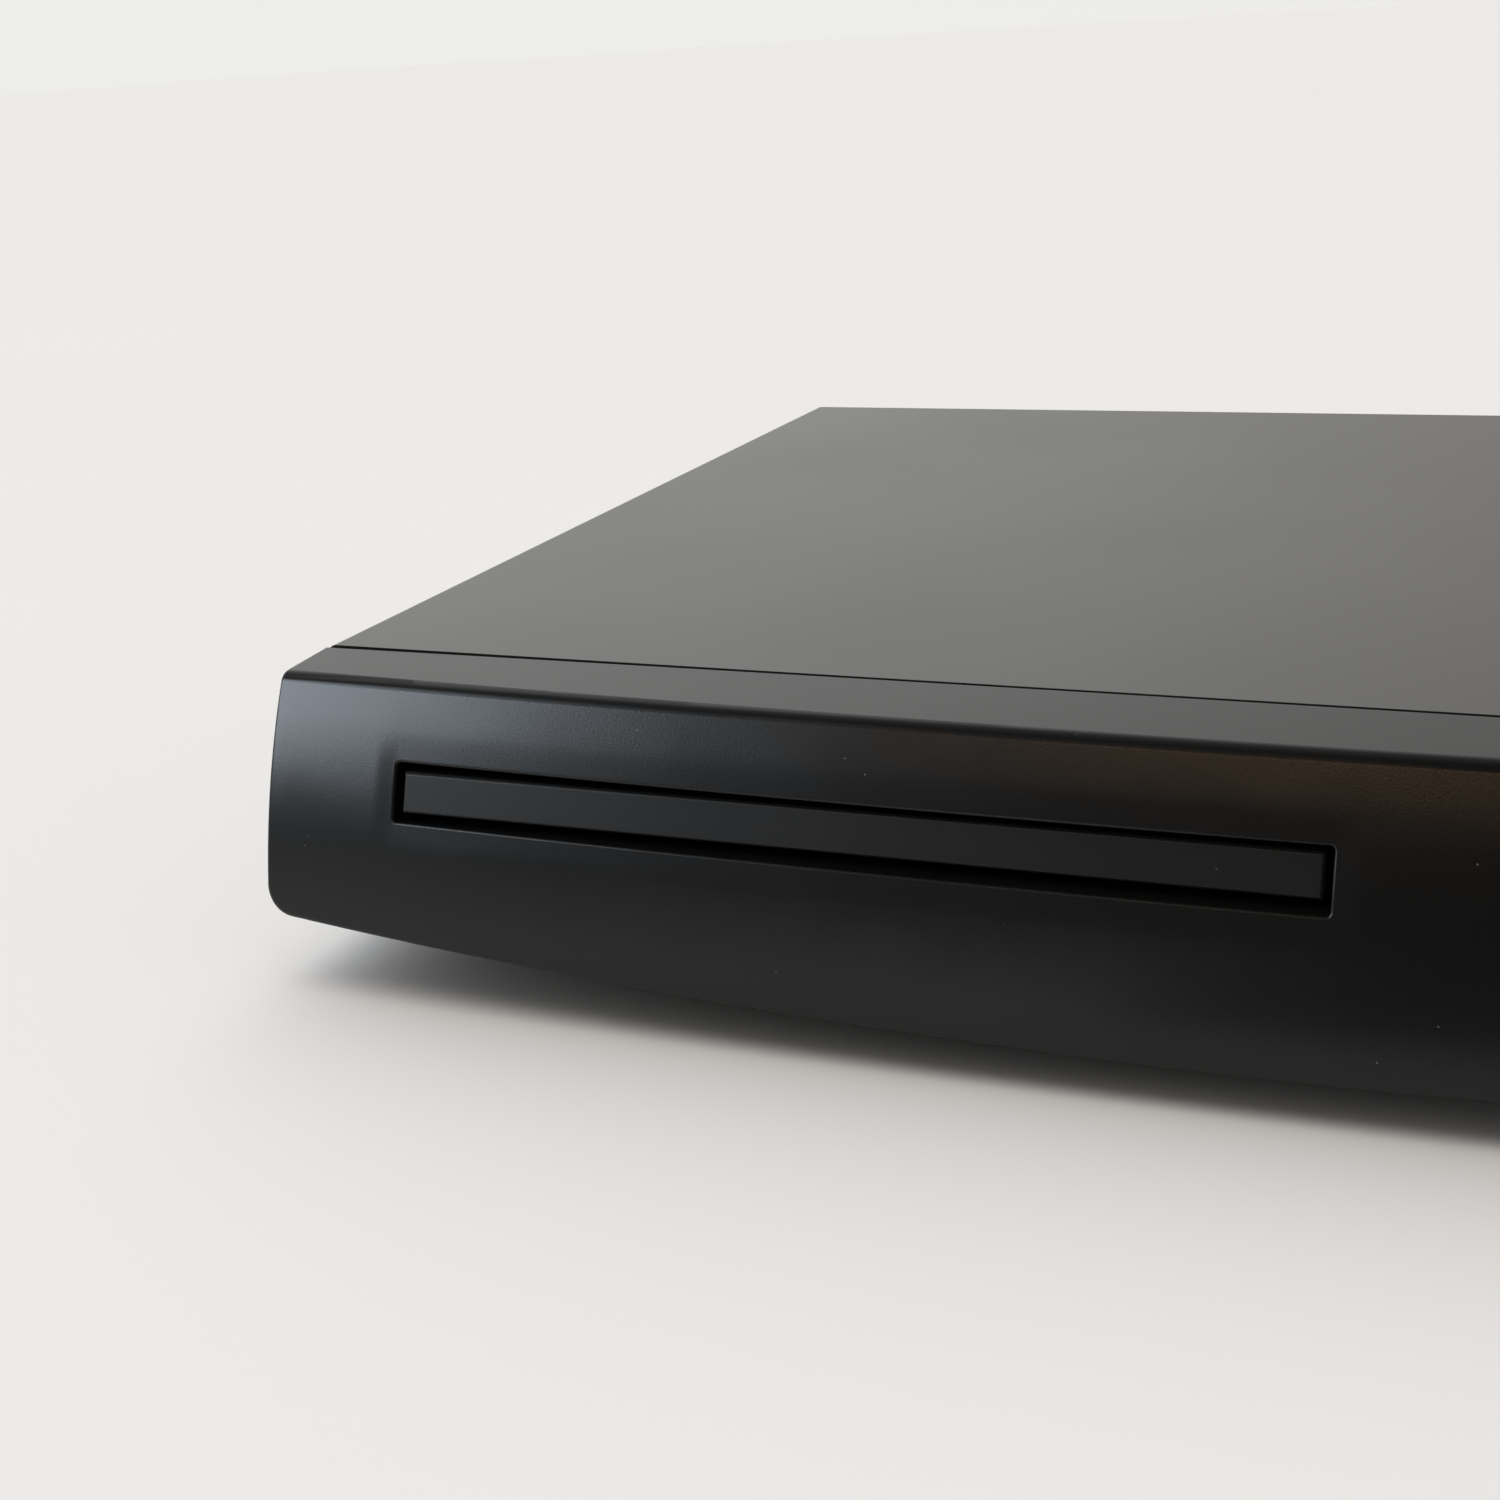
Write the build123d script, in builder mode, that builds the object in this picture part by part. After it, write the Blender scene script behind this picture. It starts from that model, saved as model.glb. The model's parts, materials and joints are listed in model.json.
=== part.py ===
from build123d import *
import os
from math import acos, asin, atan2, cos, degrees, pi, radians, sin, tan

os.makedirs("parts", exist_ok=True)

# A disc player with a motor-driven tray, in millimetres.
# X runs to the right as seen from the front, Y to the back and Z up.
# The origin is on the table, under the middle of the whole player.
# At rest the tray is closed and the pickup deck is lowered.

# Cabinet
cabinet_width = 270.0
cabinet_height = 46.0
cover_depth = 205.0
cover_sheet = 0.8
cover_bend = 1.6
cover_lip = 7.0
seam_gap = 0.9
sheet_gap = 0.2
chassis_sheet = 0.8
flange_height = 14.0
foot_height = 9.5
foot_radius = 11.0
foot_inset_x = 17.0
foot_inset_y = 24.0
pad_radius = 8.0
pad_height = 2.0

# Front panel
strip_depth = 11.8
strip_drop = 0.75
plan_bow = 3.75
face_radius = 100.0
face_lean = 28.0
top_edge_radius = 2.4
end_rise = 11.0
middle_rise = 5.5
corner_radius = 4.5
panel_wall = 2.4
panel_edge = 0.6
lip_sheet = 1.2
lip_reach = 5.0
tab_half_width = 7.0
tab_reach = 9.0

# Tray opening and door
opening_left = 22.3
opening_width = 134.0
opening_rise = 26.45
opening_height = 8.2
opening_corner = 0.6
opening_edge = 0.3
collar_wall = 1.8
collar_back = 6.5
door_gap = 1.25
door_lean = 18.3
door_setback = 18.0
door_swing = 1.0
door_back = 15.0
door_edge = 0.35

# Disc tray
tray_side_gap = 2.0
tray_top_gap = 1.45
recess_depth = 2.6
tray_floor = 1.2
tray_length = 175.0
disc_recess_radius = 61.0
small_recess_radius = 41.0
small_recess_depth = 0.5
finger_radius = 9.0
window_half_width = 25.0
window_reach = 66.0
window_corner = 8.0
spindle_setback = 50.0
slide_gap = 0.3

# Tray drive
tooth_rise = 0.8
tooth_depth = 1.05
pressure_angle = 25.0
gear_backlash = 0.16
flank_steps = 3
rack_module = 1.25
rack_pinion_teeth = 14
rack_height = 2.4
rack_inset = 8.8
rack_back = 4.0
wheel_module = 0.75
wheel_teeth = 40
pulley_pinion_teeth = 12
wheel_width = 2.4
gear_setback = 10.5
pulley_radius = 8.0
motor_pulley_radius = 2.6
pulley_flange = 0.8
belt_span = 28.0
belt_size = 1.2
belt_gap = 0.15
loading_motor_radius = 9.0
loading_motor_length = 11.3
motor_shaft_radius = 1.0
gear_pin_radius = 1.5
running_gap = 0.08

# Loader chassis
loader_wall = 2.5
loader_top_rise = 2.8
shelf_thickness = 2.0
shelf_drop = 8.4
rail_height = 2.5
bridge_sheet = 2.0
bridge_half_width = 17.0
bridge_flange = 2.0
clamp_radius = 15.0
clamp_neck = 11.7
loader_boss_radius = 4.5
loader_boss_height = 6.0
boss_reach = 5.5

# Lift and pickup, sized in the raised position
pivot_setback = 152.0
pivot_drop = 7.4
pivot_radius = 2.0
pivot_length = 4.0
seat_rise = 1.4
hub_height = 2.2
hub_radius = 7.4
platter_radius = 14.5
platter_thickness = 2.4
under_tray_gap = 0.4
lift_half_width = 46.0
lift_wall = 3.0
lift_drop_below = 10.4
lift_height = 6.5
lift_front = 31.5
slider_front = 27.2
slider_thickness = 2.5
slider_rise = 2.1
cam_pin_offset = 38.0
cam_pin_radius = 1.5
cam_pin_drop = 6.9
cam_travel = 14.0
guide_pin_offset = 53.0
guide_pin_radius = 1.5
guide_rib = 1.2
guide_rib_height = 1.6
deck_sheet = 1.2
deck_drop = 5.4
deck_half_width = 41.0
damper_radius = 4.2
damper_neck = 2.9
damper_offset = 36.0
spindle_motor_radius = 11.5
spindle_motor_height = 6.5
lens_inner_radius = 23.0
lens_travel = 35.0
lens_gap = 1.2
lens_radius = 2.6
sled_half_length = 10.0
rod_radius = 1.5
rod_spacing = 40.0
rod_drop = 7.9
sled_module = 0.6
sled_pinion_teeth = 12
sled_wheel_teeth = 24
motor_pinion_teeth = 10
sled_rack_x = 26.0
sled_gear_setback = 45.0
sled_motor_radius = 6.0
sled_motor_length = 8.0

# Controls on the right of the panel
button_width = 10.0
button_height = 5.2
button_pitch = 13.0
first_button_x = 77.0
power_button_x = 119.0
power_button_radius = 5.0
button_gap = 0.3
button_proud = 0.6
button_travel = 0.5
window_x = 54.0
window_width = 12.0
lamp_x = 65.5
lamp_radius = 1.3
board_thickness = 1.6
switch_height = 4.3

# Boards and back
standoff_height = 5.0
main_board_gap = 1.9
boards_gap = 3.2
board_hole_setback = 22.0
vent_margin = 34.0
vent_half_length = 12.0
bead_width = 6.0
bead_depth = 0.6
bead_margin = 38.0
bead_spacing = 46.0
main_board_depth = 96.0
power_board_width = 40.0
power_board_depth = 150.0
board_side_gap = 4.0
jack_reach = 8.2
jack_pitch = 14.0
jack_count = 3
jack_rise = 12.0
jack_shell_radius = 4.15
jack_shell_wall = 0.5
jack_bore_radius = 1.65
jack_ring_radius = 5.3
jack_ring_thickness = 1.0
inlet_width = 18.0
inlet_height = 11.0
inlet_wall = 1.2
inlet_depth = 12.0
prong_radius = 1.2
prong_spacing = 8.6
screw_radius = 1.4
screw_head_radius = 2.8
screw_head = 1.6

# Places worked out from the sizes above
half_width = cabinet_width / 2
bow_radius = (half_width**2 + plan_bow**2) / (2 * plan_bow)


def face_reach(drop):
    """How far the leaning face comes forward, this far below its top edge."""
    slope = asin(sin(radians(face_lean)) - drop / face_radius)
    return face_radius * (cos(slope) - cos(radians(face_lean)))


face_height = cabinet_height - strip_drop - middle_rise
front_reach = strip_depth + plan_bow + face_reach(face_height)
overall_depth = front_reach + cover_depth + jack_reach
seam_y = front_reach - overall_depth / 2
rear_y = seam_y + cover_depth
bow_centre_y = seam_y - strip_depth - plan_bow + bow_radius
floor_z = foot_height + chassis_sheet
inside_top = cabinet_height - cover_sheet
inner_half = half_width - cover_sheet - sheet_gap

opening_bottom = opening_rise
opening_top = opening_bottom + opening_height
opening_middle = (opening_top + opening_bottom) / 2
tray_x = -half_width + opening_left + opening_width / 2
tray_half = opening_width / 2 - tray_side_gap
tray_top = opening_top - tray_top_gap
recess_floor = tray_top - recess_depth
tray_under = recess_floor - tray_floor
tray_front = seam_y - door_back
tray_rear = tray_front + tray_length
spindle_y = seam_y + spindle_setback

loader_half = tray_half + slide_gap
loader_outer = loader_half + loader_wall
boss_xs = (tray_x - loader_outer - boss_reach, tray_x + loader_outer + boss_reach)

seat_z = recess_floor + seat_rise
pivot_height = tray_under - pivot_drop
lift_bottom = tray_under - lift_drop_below
cam_pin_height = tray_under - cam_pin_drop
deck_bottom = tray_under - deck_drop
rod_height = tray_under - rod_drop
slider_bottom = floor_z + slider_rise
hub_top = seat_z + hub_height
pivot_y = seam_y + pivot_setback
lift_drop = hub_top - tray_under + under_tray_gap
lift_angle = degrees(asin(lift_drop / (pivot_y - spindle_y - hub_radius)))
control_z = opening_middle

lowering = (
    Location((0, pivot_y, pivot_height))
    * Location((0, 0, 0), (lift_angle, 0, 0))
    * Location((0, -pivot_y, -pivot_height))
)


def save(piece, name):
    """Labels a finished piece and writes it as its own file."""
    piece.label = name
    export_step(piece, f"parts/{name}.step")
    print(name, len(piece.solids()), round(piece.volume))


def level(z):
    """A level plane at this height."""
    return Plane.XY.offset(z)


def facing(y):
    """An upright plane at this depth, which faces the front."""
    return Plane.XZ.offset(-y)


def lowered(plane):
    """A plane of the raised pickup deck, moved to the lowered deck."""
    return Plane(lowering * plane.location)


def block(x, y, z, mode=Mode.ADD):
    """A box in the open part, from low to high along each axis."""
    with Locations((sum(x) / 2, sum(y) / 2, sum(z) / 2)):
        return Box(x[1] - x[0], y[1] - y[0], z[1] - z[0], mode=mode)


def post(x, y, radius, z, mode=Mode.ADD):
    """An upright cylinder in the open part."""
    with Locations((x, y, sum(z) / 2)):
        return Cylinder(radius, z[1] - z[0], mode=mode)


def peg(x, z, radius, y, mode=Mode.ADD):
    """A cylinder along Y in the open part."""
    with Locations(Location((x, sum(y) / 2, z), (90, 0, 0))):
        return Cylinder(radius, y[1] - y[0], mode=mode)


def axle(y, z, radius, x, mode=Mode.ADD):
    """A cylinder along X in the open part."""
    with Locations(Location((sum(x) / 2, y, z), (0, 90, 0))):
        return Cylinder(radius, x[1] - x[0], mode=mode)


def about(middle, half):
    """The low and high ends of a span about its middle."""
    return (middle - half, middle + half)


def behind_seam(near, far):
    """A span along Y, measured back from the seam of cover and panel."""
    return (seam_y + near, seam_y + far)


def beside_tray(near, far):
    """A span along X, measured from the middle of the tray."""
    return (tray_x + near, tray_x + far)


def gear_outline(teeth, module, phase):
    """Involute teeth about the origin, with one tooth at the phase angle."""
    pitch = module * teeth / 2
    base = pitch * cos(radians(pressure_angle))
    root = pitch - tooth_depth * module
    tip = pitch + tooth_rise * module

    def roll(radius):
        angle = acos(min(1, base / radius))
        return tan(angle) - angle

    flank = [root + (tip - root) * k / flank_steps for k in range(flank_steps + 1)]
    at_pitch = (pi * module / 2 - gear_backlash) / (2 * pitch)
    halves = [(r, at_pitch + roll(pitch) - roll(r)) for r in flank]
    points = []
    for tooth in range(teeth):
        middle = radians(phase) + 2 * pi * tooth / teeth
        corners = [(r, middle - half) for r, half in halves]
        corners += [(r, middle + half) for r, half in reversed(halves)]
        points += [(r * cos(a), r * sin(a)) for r, a in corners]
    with BuildSketch() as outline:
        with BuildLine():
            Polyline(*points, close=True)
        make_face()
    return outline.sketch


def rack_outline(pitch_x, toward, back, gap_y, y, module):
    """A rack along Y with a gap at gap_y, its teeth pointing toward -1 or 1."""
    step = pi * module
    half = step / 4 - gear_backlash / 2
    slope = tan(radians(pressure_angle))
    tip_x = pitch_x + toward * tooth_rise * module
    root_x = pitch_x - toward * tooth_depth * module
    tip = half - tooth_rise * module * slope
    root = half + tooth_depth * module * slope
    first = int((y[0] - gap_y) / step) - 1
    middles = [gap_y + (first + k + 0.5) * step for k in range(int((y[1] - y[0]) / step) + 4)]
    points = [(root_x, y[0])]
    for middle in middles:
        if y[0] < middle - root and middle + root < y[1]:
            points += [(root_x, middle - root), (tip_x, middle - tip)]
            points += [(tip_x, middle + tip), (root_x, middle + root)]
    points += [(root_x, y[1]), (pitch_x - toward * back, y[1]), (pitch_x - toward * back, y[0])]
    with BuildSketch() as outline:
        with BuildLine():
            Polyline(*points, close=True)
        make_face()
    return outline.sketch


def turned(place, profile):
    """A turned piece: its profile of radius and height, spun about the place."""
    with BuildSketch(Plane(place.origin, x_dir=place.x_dir, z_dir=-place.y_dir)) as section:
        with BuildLine():
            Polyline(*profile, close=True)
        make_face()
    revolve(section.sketch, axis=Axis(place.origin, place.z_dir))


# Front panel

bow_half_angle = degrees(asin(half_width / bow_radius)) + 0.3
bow_start = radians(bow_half_angle)
bow_plane = Plane(
    origin=(0, bow_centre_y, 0),
    x_dir=(-sin(bow_start), -cos(bow_start), 0),
    z_dir=(-cos(bow_start), sin(bow_start), 0),
)
PAST_SEAM = 12.0
PAST_FLOOR = 4.0


def curved_block(outward):
    """The bowed, leaning front as a full block, its skin moved outward."""
    edge_z = cabinet_height - strip_drop
    face_drop = face_height + PAST_FLOOR
    seam_r = bow_radius - strip_depth - plan_bow
    rise = strip_drop / (strip_depth + plan_bow)
    back_r = seam_r - PAST_SEAM
    foot_r = bow_radius + face_reach(face_drop)
    half_r = bow_radius + face_reach(face_drop / 2)
    with BuildPart() as curved:
        with BuildSketch(bow_plane):
            with BuildLine():
                Polyline(
                    (bow_radius, edge_z),
                    (back_r, cabinet_height + rise * PAST_SEAM),
                    (back_r, edge_z - face_drop),
                    (foot_r, edge_z - face_drop),
                )
                ThreePointArc(
                    (foot_r, edge_z - face_drop),
                    (half_r, edge_z - face_drop / 2),
                    (bow_radius, edge_z),
                )
            make_face()
            if outward:
                offset(amount=outward, kind=Kind.INTERSECTION)
            front_top = vertices().sort_by(Axis.Y)[-2:].sort_by(Axis.X)[-1]
            fillet(front_top, max(0.3, top_edge_radius + outward))
        revolve(
            axis=Axis((0, bow_centre_y, 0), (0, 0, 1)),
            revolution_arc=2 * bow_half_angle,
        )
    return curved.part


def panel_outline(inset):
    """The panel as seen from the front, with its smiling lower edge."""
    with BuildSketch() as outline:
        with BuildLine():
            Polyline(
                (-half_width, end_rise),
                (-half_width, cabinet_height + 2 * PAST_FLOOR),
                (half_width, cabinet_height + 2 * PAST_FLOOR),
                (half_width, end_rise),
            )
            ThreePointArc(
                (half_width, end_rise),
                (0, middle_rise),
                (-half_width, end_rise),
            )
        make_face()
        fillet(vertices().group_by(Axis.Y)[0], corner_radius)
        if inset:
            offset(amount=-inset, kind=Kind.INTERSECTION)
    return outline.sketch


def lower_edge(x):
    """The height of the panel's lower edge at this place along it."""
    return middle_rise + (end_rise - middle_rise) * (x / half_width) ** 2


face_skin = curved_block(0)
inner_skin = curved_block(-panel_wall)
button_skin = curved_block(button_proud)

with BuildPart() as hollow:
    add(inner_skin)
    with BuildSketch(facing(seam_y + 1)):
        add(panel_outline(panel_wall))
    extrude(amount=front_reach + 2, mode=Mode.INTERSECT)

button_names = ("open_close", "play_pause", "stop")
button_xs = [first_button_x + i * button_pitch for i in range(len(button_names))]
front_board_back = seam_y - 3.4
front_board_face = front_board_back - board_thickness
front_board_x = (window_x - window_width / 2 - 6, power_button_x + 8)
front_board_z = (floor_z + 8, control_z + 9)
front_post_xs = (front_board_x[0] + 3.5, front_board_x[1] - 3.5)
front_post_z = front_board_z[1] - 3.5
front_post_radius = 2.6
switch_face = front_board_face - switch_height
opening_plane = Plane((tray_x, seam_y, opening_middle), x_dir=(1, 0, 0), z_dir=(0, -1, 0))
tab_xs = (-half_width + 12, 0.37 * half_width, half_width - 12)


with BuildPart() as full_panel:
    add(face_skin)
    with BuildSketch(facing(seam_y)):
        add(panel_outline(0))
    extrude(amount=front_reach + 1, mode=Mode.INTERSECT)
    rim = full_panel.edges().filter_by(lambda e: e.center().Y < seam_y - 14)
    fillet(rim.filter_by(lambda e: e.length > 20), panel_edge)
    with BuildSketch(opening_plane):
        RectangleRounded(opening_width, opening_height, opening_corner)
    extrude(amount=front_reach + 1, mode=Mode.SUBTRACT)
    mouth = [
        edge for edge in full_panel.edges()
        if abs(edge.center().X - tray_x) < 0.51 * opening_width
        and abs(edge.center().Z - opening_middle) < 0.51 * opening_height
        and edge.center().Y < seam_y - strip_depth
    ]
    fillet(mouth, opening_edge)

with BuildPart() as collar:
    add(full_panel.part)
    with BuildSketch(opening_plane.offset(collar_back)):
        Rectangle(opening_width + 2 * collar_wall, opening_height + 2 * collar_wall)
    extrude(amount=front_reach, mode=Mode.INTERSECT)

with BuildPart() as board_posts:
    add(full_panel.part)
    with BuildSketch(facing(front_board_face)):
        for x in front_post_xs:
            with Locations((x, front_post_z)):
                Circle(front_post_radius)
    extrude(amount=front_reach, mode=Mode.INTERSECT)

with BuildPart() as front_panel:
    add(full_panel.part)
    add(hollow.part, mode=Mode.SUBTRACT)
    add(collar.part)
    add(board_posts.part)
    for x in tab_xs:
        foot = lower_edge(x) + 1
        block(about(x, tab_half_width), (seam_y - 6, seam_y - 0.3), (foot, floor_z + 2))
        block(about(x, tab_half_width), (seam_y - 6, seam_y + tab_reach), (floor_z, floor_z + 2))
    lip_top = inside_top - sheet_gap
    block(
        about(0, inner_half - lip_sheet),
        (seam_y - 4, seam_y + lip_reach),
        (lip_top - lip_sheet, lip_top),
    )
    with BuildSketch(facing(seam_y)):
        for x in button_xs:
            with Locations((x, control_z)):
                RectangleRounded(
                    button_width + 2 * button_gap,
                    button_height + 2 * button_gap,
                    0.45 * button_height + button_gap,
                )
        with Locations((power_button_x, control_z)):
            Circle(power_button_radius + button_gap)
        with Locations((window_x, control_z)):
            RectangleRounded(window_width, button_height, 0.45 * button_height)
        with Locations((lamp_x, control_z)):
            Circle(lamp_radius)
    extrude(amount=front_reach + 1, mode=Mode.SUBTRACT)
    for x in tab_xs:
        post(x, seam_y + tab_reach / 2 + 1, screw_radius, (floor_z - 1, floor_z + 3), Mode.SUBTRACT)
    for x in front_post_xs:
        peg(x, front_post_z, screw_radius, (front_board_face - 5, front_board_face + 1),
            Mode.SUBTRACT)
save(front_panel.part, "front_panel")


def panel_insert(outline, skin, back):
    """A piece that fills an outline in the panel, between a skin and its back."""
    with BuildPart() as insert:
        add(skin)
        with BuildSketch(facing(back)):
            add(outline)
        extrude(amount=front_reach + 4, mode=Mode.INTERSECT)
    return insert


button_back = seam_y - strip_depth - 1.5
for name, x in zip(button_names, button_xs):
    with BuildSketch() as cap:
        with Locations((x, control_z)):
            RectangleRounded(button_width, button_height, 0.45 * button_height)
    with BuildPart() as button:
        add(panel_insert(cap.sketch, button_skin, button_back).part)
        rim = button.faces().sort_by(Axis.Y)[0].edges()
        fillet(rim, 0.5 * button_proud)
        peg(x, control_z, 1.5, (button_back - 1, switch_face - button_travel - 0.05))
    save(button.part, f"button_{name}")

with BuildSketch() as cap:
    with Locations((power_button_x, control_z)):
        Circle(power_button_radius)
with BuildPart() as button_power:
    add(panel_insert(cap.sketch, button_skin, button_back).part)
    fillet(button_power.faces().sort_by(Axis.Y)[0].edges(), 0.5 * button_proud)
    peg(power_button_x, control_z, 1.5, (button_back - 1, switch_face - button_travel - 0.05))
save(button_power.part, "button_power")

with BuildSketch() as pane:
    with Locations((window_x, control_z)):
        RectangleRounded(window_width, button_height, 0.45 * button_height)
ir_window = panel_insert(pane.sketch, face_skin, seam_y - strip_depth - 3)
save(ir_window.part, "ir_window")

with BuildSketch() as pipe:
    with Locations((lamp_x, control_z)):
        Circle(lamp_radius)
standby_lamp = panel_insert(pipe.sketch, face_skin, front_board_face)
save(standby_lamp.part, "standby_lamp")

with BuildPart() as front_board:
    block(front_board_x, (front_board_face, front_board_back), front_board_z)
    for x in front_post_xs:
        peg(x, front_post_z, screw_radius, (front_board_face, front_board_back), Mode.SUBTRACT)
save(front_board.part, "front_board")

with BuildPart() as tact_switches:
    for x in (*button_xs, power_button_x):
        block(about(x, 3), (switch_face + 0.8, front_board_face), about(control_z, 3))
        peg(x, control_z, 1.75, (switch_face, switch_face + 0.8))
save(tact_switches.part, "tact_switches")

with BuildPart() as ir_receiver:
    block(about(window_x, 3), (front_board_face - 4, front_board_face), about(control_z, 3.5))
    with Locations((window_x, front_board_face - 4, control_z)):
        Sphere(2.2)
save(ir_receiver.part, "ir_receiver")

# Cabinet


def cover_section(inset, top, foot):
    """The cover's upright section, drawn in by a sheet or more."""
    with BuildSketch() as section:
        with Locations((0, (top + foot) / 2)):
            Rectangle(2 * (half_width - inset), top - foot)
        fillet(section.vertices().group_by(Axis.Y)[-1], max(0.4, cover_bend - inset))
    return section.sketch


with BuildPart() as top_cover:
    with BuildSketch(facing(rear_y)):
        add(cover_section(0, cabinet_height, foot_height))
    extrude(amount=cover_depth - seam_gap)
    with BuildSketch(facing(rear_y - cover_sheet)):
        add(cover_section(cover_sheet, inside_top, foot_height - 1))
    extrude(amount=cover_depth, mode=Mode.SUBTRACT)
    block(about(0, half_width), (rear_y - 2 * cover_sheet, rear_y + 1),
          (foot_height - 1, cabinet_height - cover_lip), Mode.SUBTRACT)
    for side in (-1, 1):
        for i in range(9):
            y = seam_y + cover_depth - 36 - 6 * i
            block(about(side * half_width, 3), about(y, 1.25), about(cabinet_height / 2 + 4, 8),
                  Mode.SUBTRACT)
        axle(seam_y + 0.5 * cover_depth, foot_height + 0.5 * flange_height, screw_radius + 0.2,
             about(side * half_width, 3), Mode.SUBTRACT)
    for x in (-0.8 * half_width, 0, 0.8 * half_width):
        peg(x, cabinet_height - 0.5 * cover_lip, screw_radius + 0.2, (rear_y - 2, rear_y + 1),
            Mode.SUBTRACT)
save(top_cover.part, "top_cover")

chassis_half = half_width - cover_sheet - sheet_gap
chassis_rear = rear_y - 3 * cover_sheet - sheet_gap
feet_xy = [(x, y) for x in (-half_width + foot_inset_x, half_width - foot_inset_x)
           for y in (seam_y + foot_inset_y, rear_y - foot_inset_y)]

board_z = floor_z + standoff_height
board_top = board_z + board_thickness
jack_z = board_top + jack_rise
panel_back = rear_y - cover_sheet
panel_face = panel_back - cover_sheet
power_board_x = (inner_half - chassis_sheet - board_side_gap - power_board_width,
                 inner_half - chassis_sheet - board_side_gap)
inlet_x = sum(power_board_x) / 2
inlet_z = board_top + inlet_height / 2 + 0.5
main_board_x = (boss_xs[1] + loader_boss_radius + main_board_gap, power_board_x[0] - boards_gap)
main_board_width = main_board_x[1] - main_board_x[0]
jack_xs = [main_board_x[1] - jack_pitch * (jack_count - i) for i in range(jack_count)]
insert_radius = jack_shell_radius - jack_shell_wall
jack_hole_radius = insert_radius + sheet_gap
main_board_y = (panel_face - 1 - main_board_depth, panel_face - 1)
power_board_y = (panel_face - 1 - power_board_depth, panel_face - 1)
board_holes = [
    (x, y) for span_x, span_y in ((main_board_x, main_board_y), (power_board_x, power_board_y))
    for x in (span_x[0] + 4, span_x[1] - 4) for y in (span_y[0] + 4, span_y[1] - board_hole_setback)
]

bead_rear = rear_y - bead_margin
vent_rear = seam_y + 2 * vent_margin + vent_half_length
bead_places = [
    (tray_x - bead_spacing, seam_y + bead_margin),
    (tray_x, seam_y + bead_margin),
    (tray_x + bead_spacing, seam_y + bead_margin),
    (sum(main_board_x) / 2, vent_rear + bead_margin),
    (sum(power_board_x) / 2, vent_rear + bead_margin),
]

with BuildPart() as bottom_chassis:
    block(about(0, chassis_half), (seam_y, chassis_rear),
          (foot_height, foot_height + flange_height))
    block(about(0, chassis_half - chassis_sheet), (seam_y - 1, rear_y + 1), (floor_z, 3 * floor_z),
          Mode.SUBTRACT)
    for x, y in feet_xy:
        post(x, y, screw_radius, (foot_height, floor_z), Mode.SUBTRACT)
    for x in tab_xs:
        post(x, seam_y + tab_reach / 2 + 1, screw_radius, (foot_height, floor_z), Mode.SUBTRACT)
    for side in (-1, 1):
        axle(seam_y + 0.5 * cover_depth, foot_height + 0.5 * flange_height, screw_radius,
             about(side * chassis_half, 3), Mode.SUBTRACT)
    for column in range(8):
        for row in range(2):
            x = half_width - vent_margin - 8 * column
            y = seam_y + vent_margin * (1 + row)
            block(about(x, 1.5), about(y, vent_half_length), (foot_height, floor_z), Mode.SUBTRACT)
    for x, front in bead_places:
        centre = (x, (front + bead_rear) / 2)
        with BuildSketch(level(foot_height - bead_depth)):
            with Locations(centre):
                SlotOverall(bead_rear - front, bead_width, rotation=90)
        extrude(amount=bead_depth)
        with BuildSketch(level(floor_z - bead_depth)):
            with Locations(centre):
                SlotOverall(bead_rear - front - 2 * chassis_sheet, bead_width - 2 * chassis_sheet,
                            rotation=90)
        extrude(amount=bead_depth, mode=Mode.SUBTRACT)
    for x, y in board_holes:
        post(x, y, 2.8, (floor_z, board_z))
        post(x, y, screw_radius, (floor_z + 1, board_z + 1), Mode.SUBTRACT)
save(bottom_chassis.part, "bottom_chassis")

with BuildPart() as feet:
    for x, y in feet_xy:
        turned(Plane((x, y, 0)), [
            (0, pad_height - 0.8), (pad_radius, pad_height - 0.8), (pad_radius, 0.6),
            (foot_radius - 1.4, 0.6), (foot_radius, 2.0), (foot_radius - 1.2, foot_height),
            (screw_radius, foot_height), (screw_radius, 4.5), (0, 4.5),
        ])
save(feet.part, "feet")

with BuildPart() as foot_pads:
    for x, y in feet_xy:
        turned(Plane((x, y, 0)), [
            (0, 0), (pad_radius - 0.5, 0), (pad_radius, 0.4),
            (pad_radius, pad_height - 0.8), (0, pad_height - 0.8),
        ])
save(foot_pads.part, "foot_pads")

# Back of the cabinet

with BuildPart() as rear_panel:
    rear_foot = floor_z
    rear_top = inside_top - sheet_gap
    block(about(0, inner_half - chassis_sheet - sheet_gap), (panel_face, panel_back),
          (rear_foot, rear_top))
    for side in (-1, 1):
        x = side * (inner_half - chassis_sheet - sheet_gap - 0.5 * cover_sheet)
        block(about(x, 0.5 * cover_sheet), (panel_face - 8, panel_back), (rear_foot, rear_top))
    block(about(0, inner_half - chassis_sheet - sheet_gap), (panel_face - 8, panel_back),
          (rear_foot, rear_foot + cover_sheet))
    for x in jack_xs:
        peg(x, jack_z, jack_hole_radius, (panel_face - 1, panel_back + 1), Mode.SUBTRACT)
    block(about(inlet_x, inlet_width / 2), (panel_face - 1, panel_back + 1),
          about(inlet_z, inlet_height / 2), Mode.SUBTRACT)
    for column in range(16):
        for row in range(3):
            x = -half_width + 30 + 6 * column
            block(about(x, 1.25), (panel_face - 1, panel_back + 1), about(18 + 8 * row, 3),
                  Mode.SUBTRACT)
    for x in (-0.8 * half_width, 0, 0.8 * half_width):
        peg(x, cabinet_height - 0.5 * cover_lip, screw_radius, (panel_face - 1, panel_back + 1),
            Mode.SUBTRACT)
save(rear_panel.part, "rear_panel")

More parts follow.
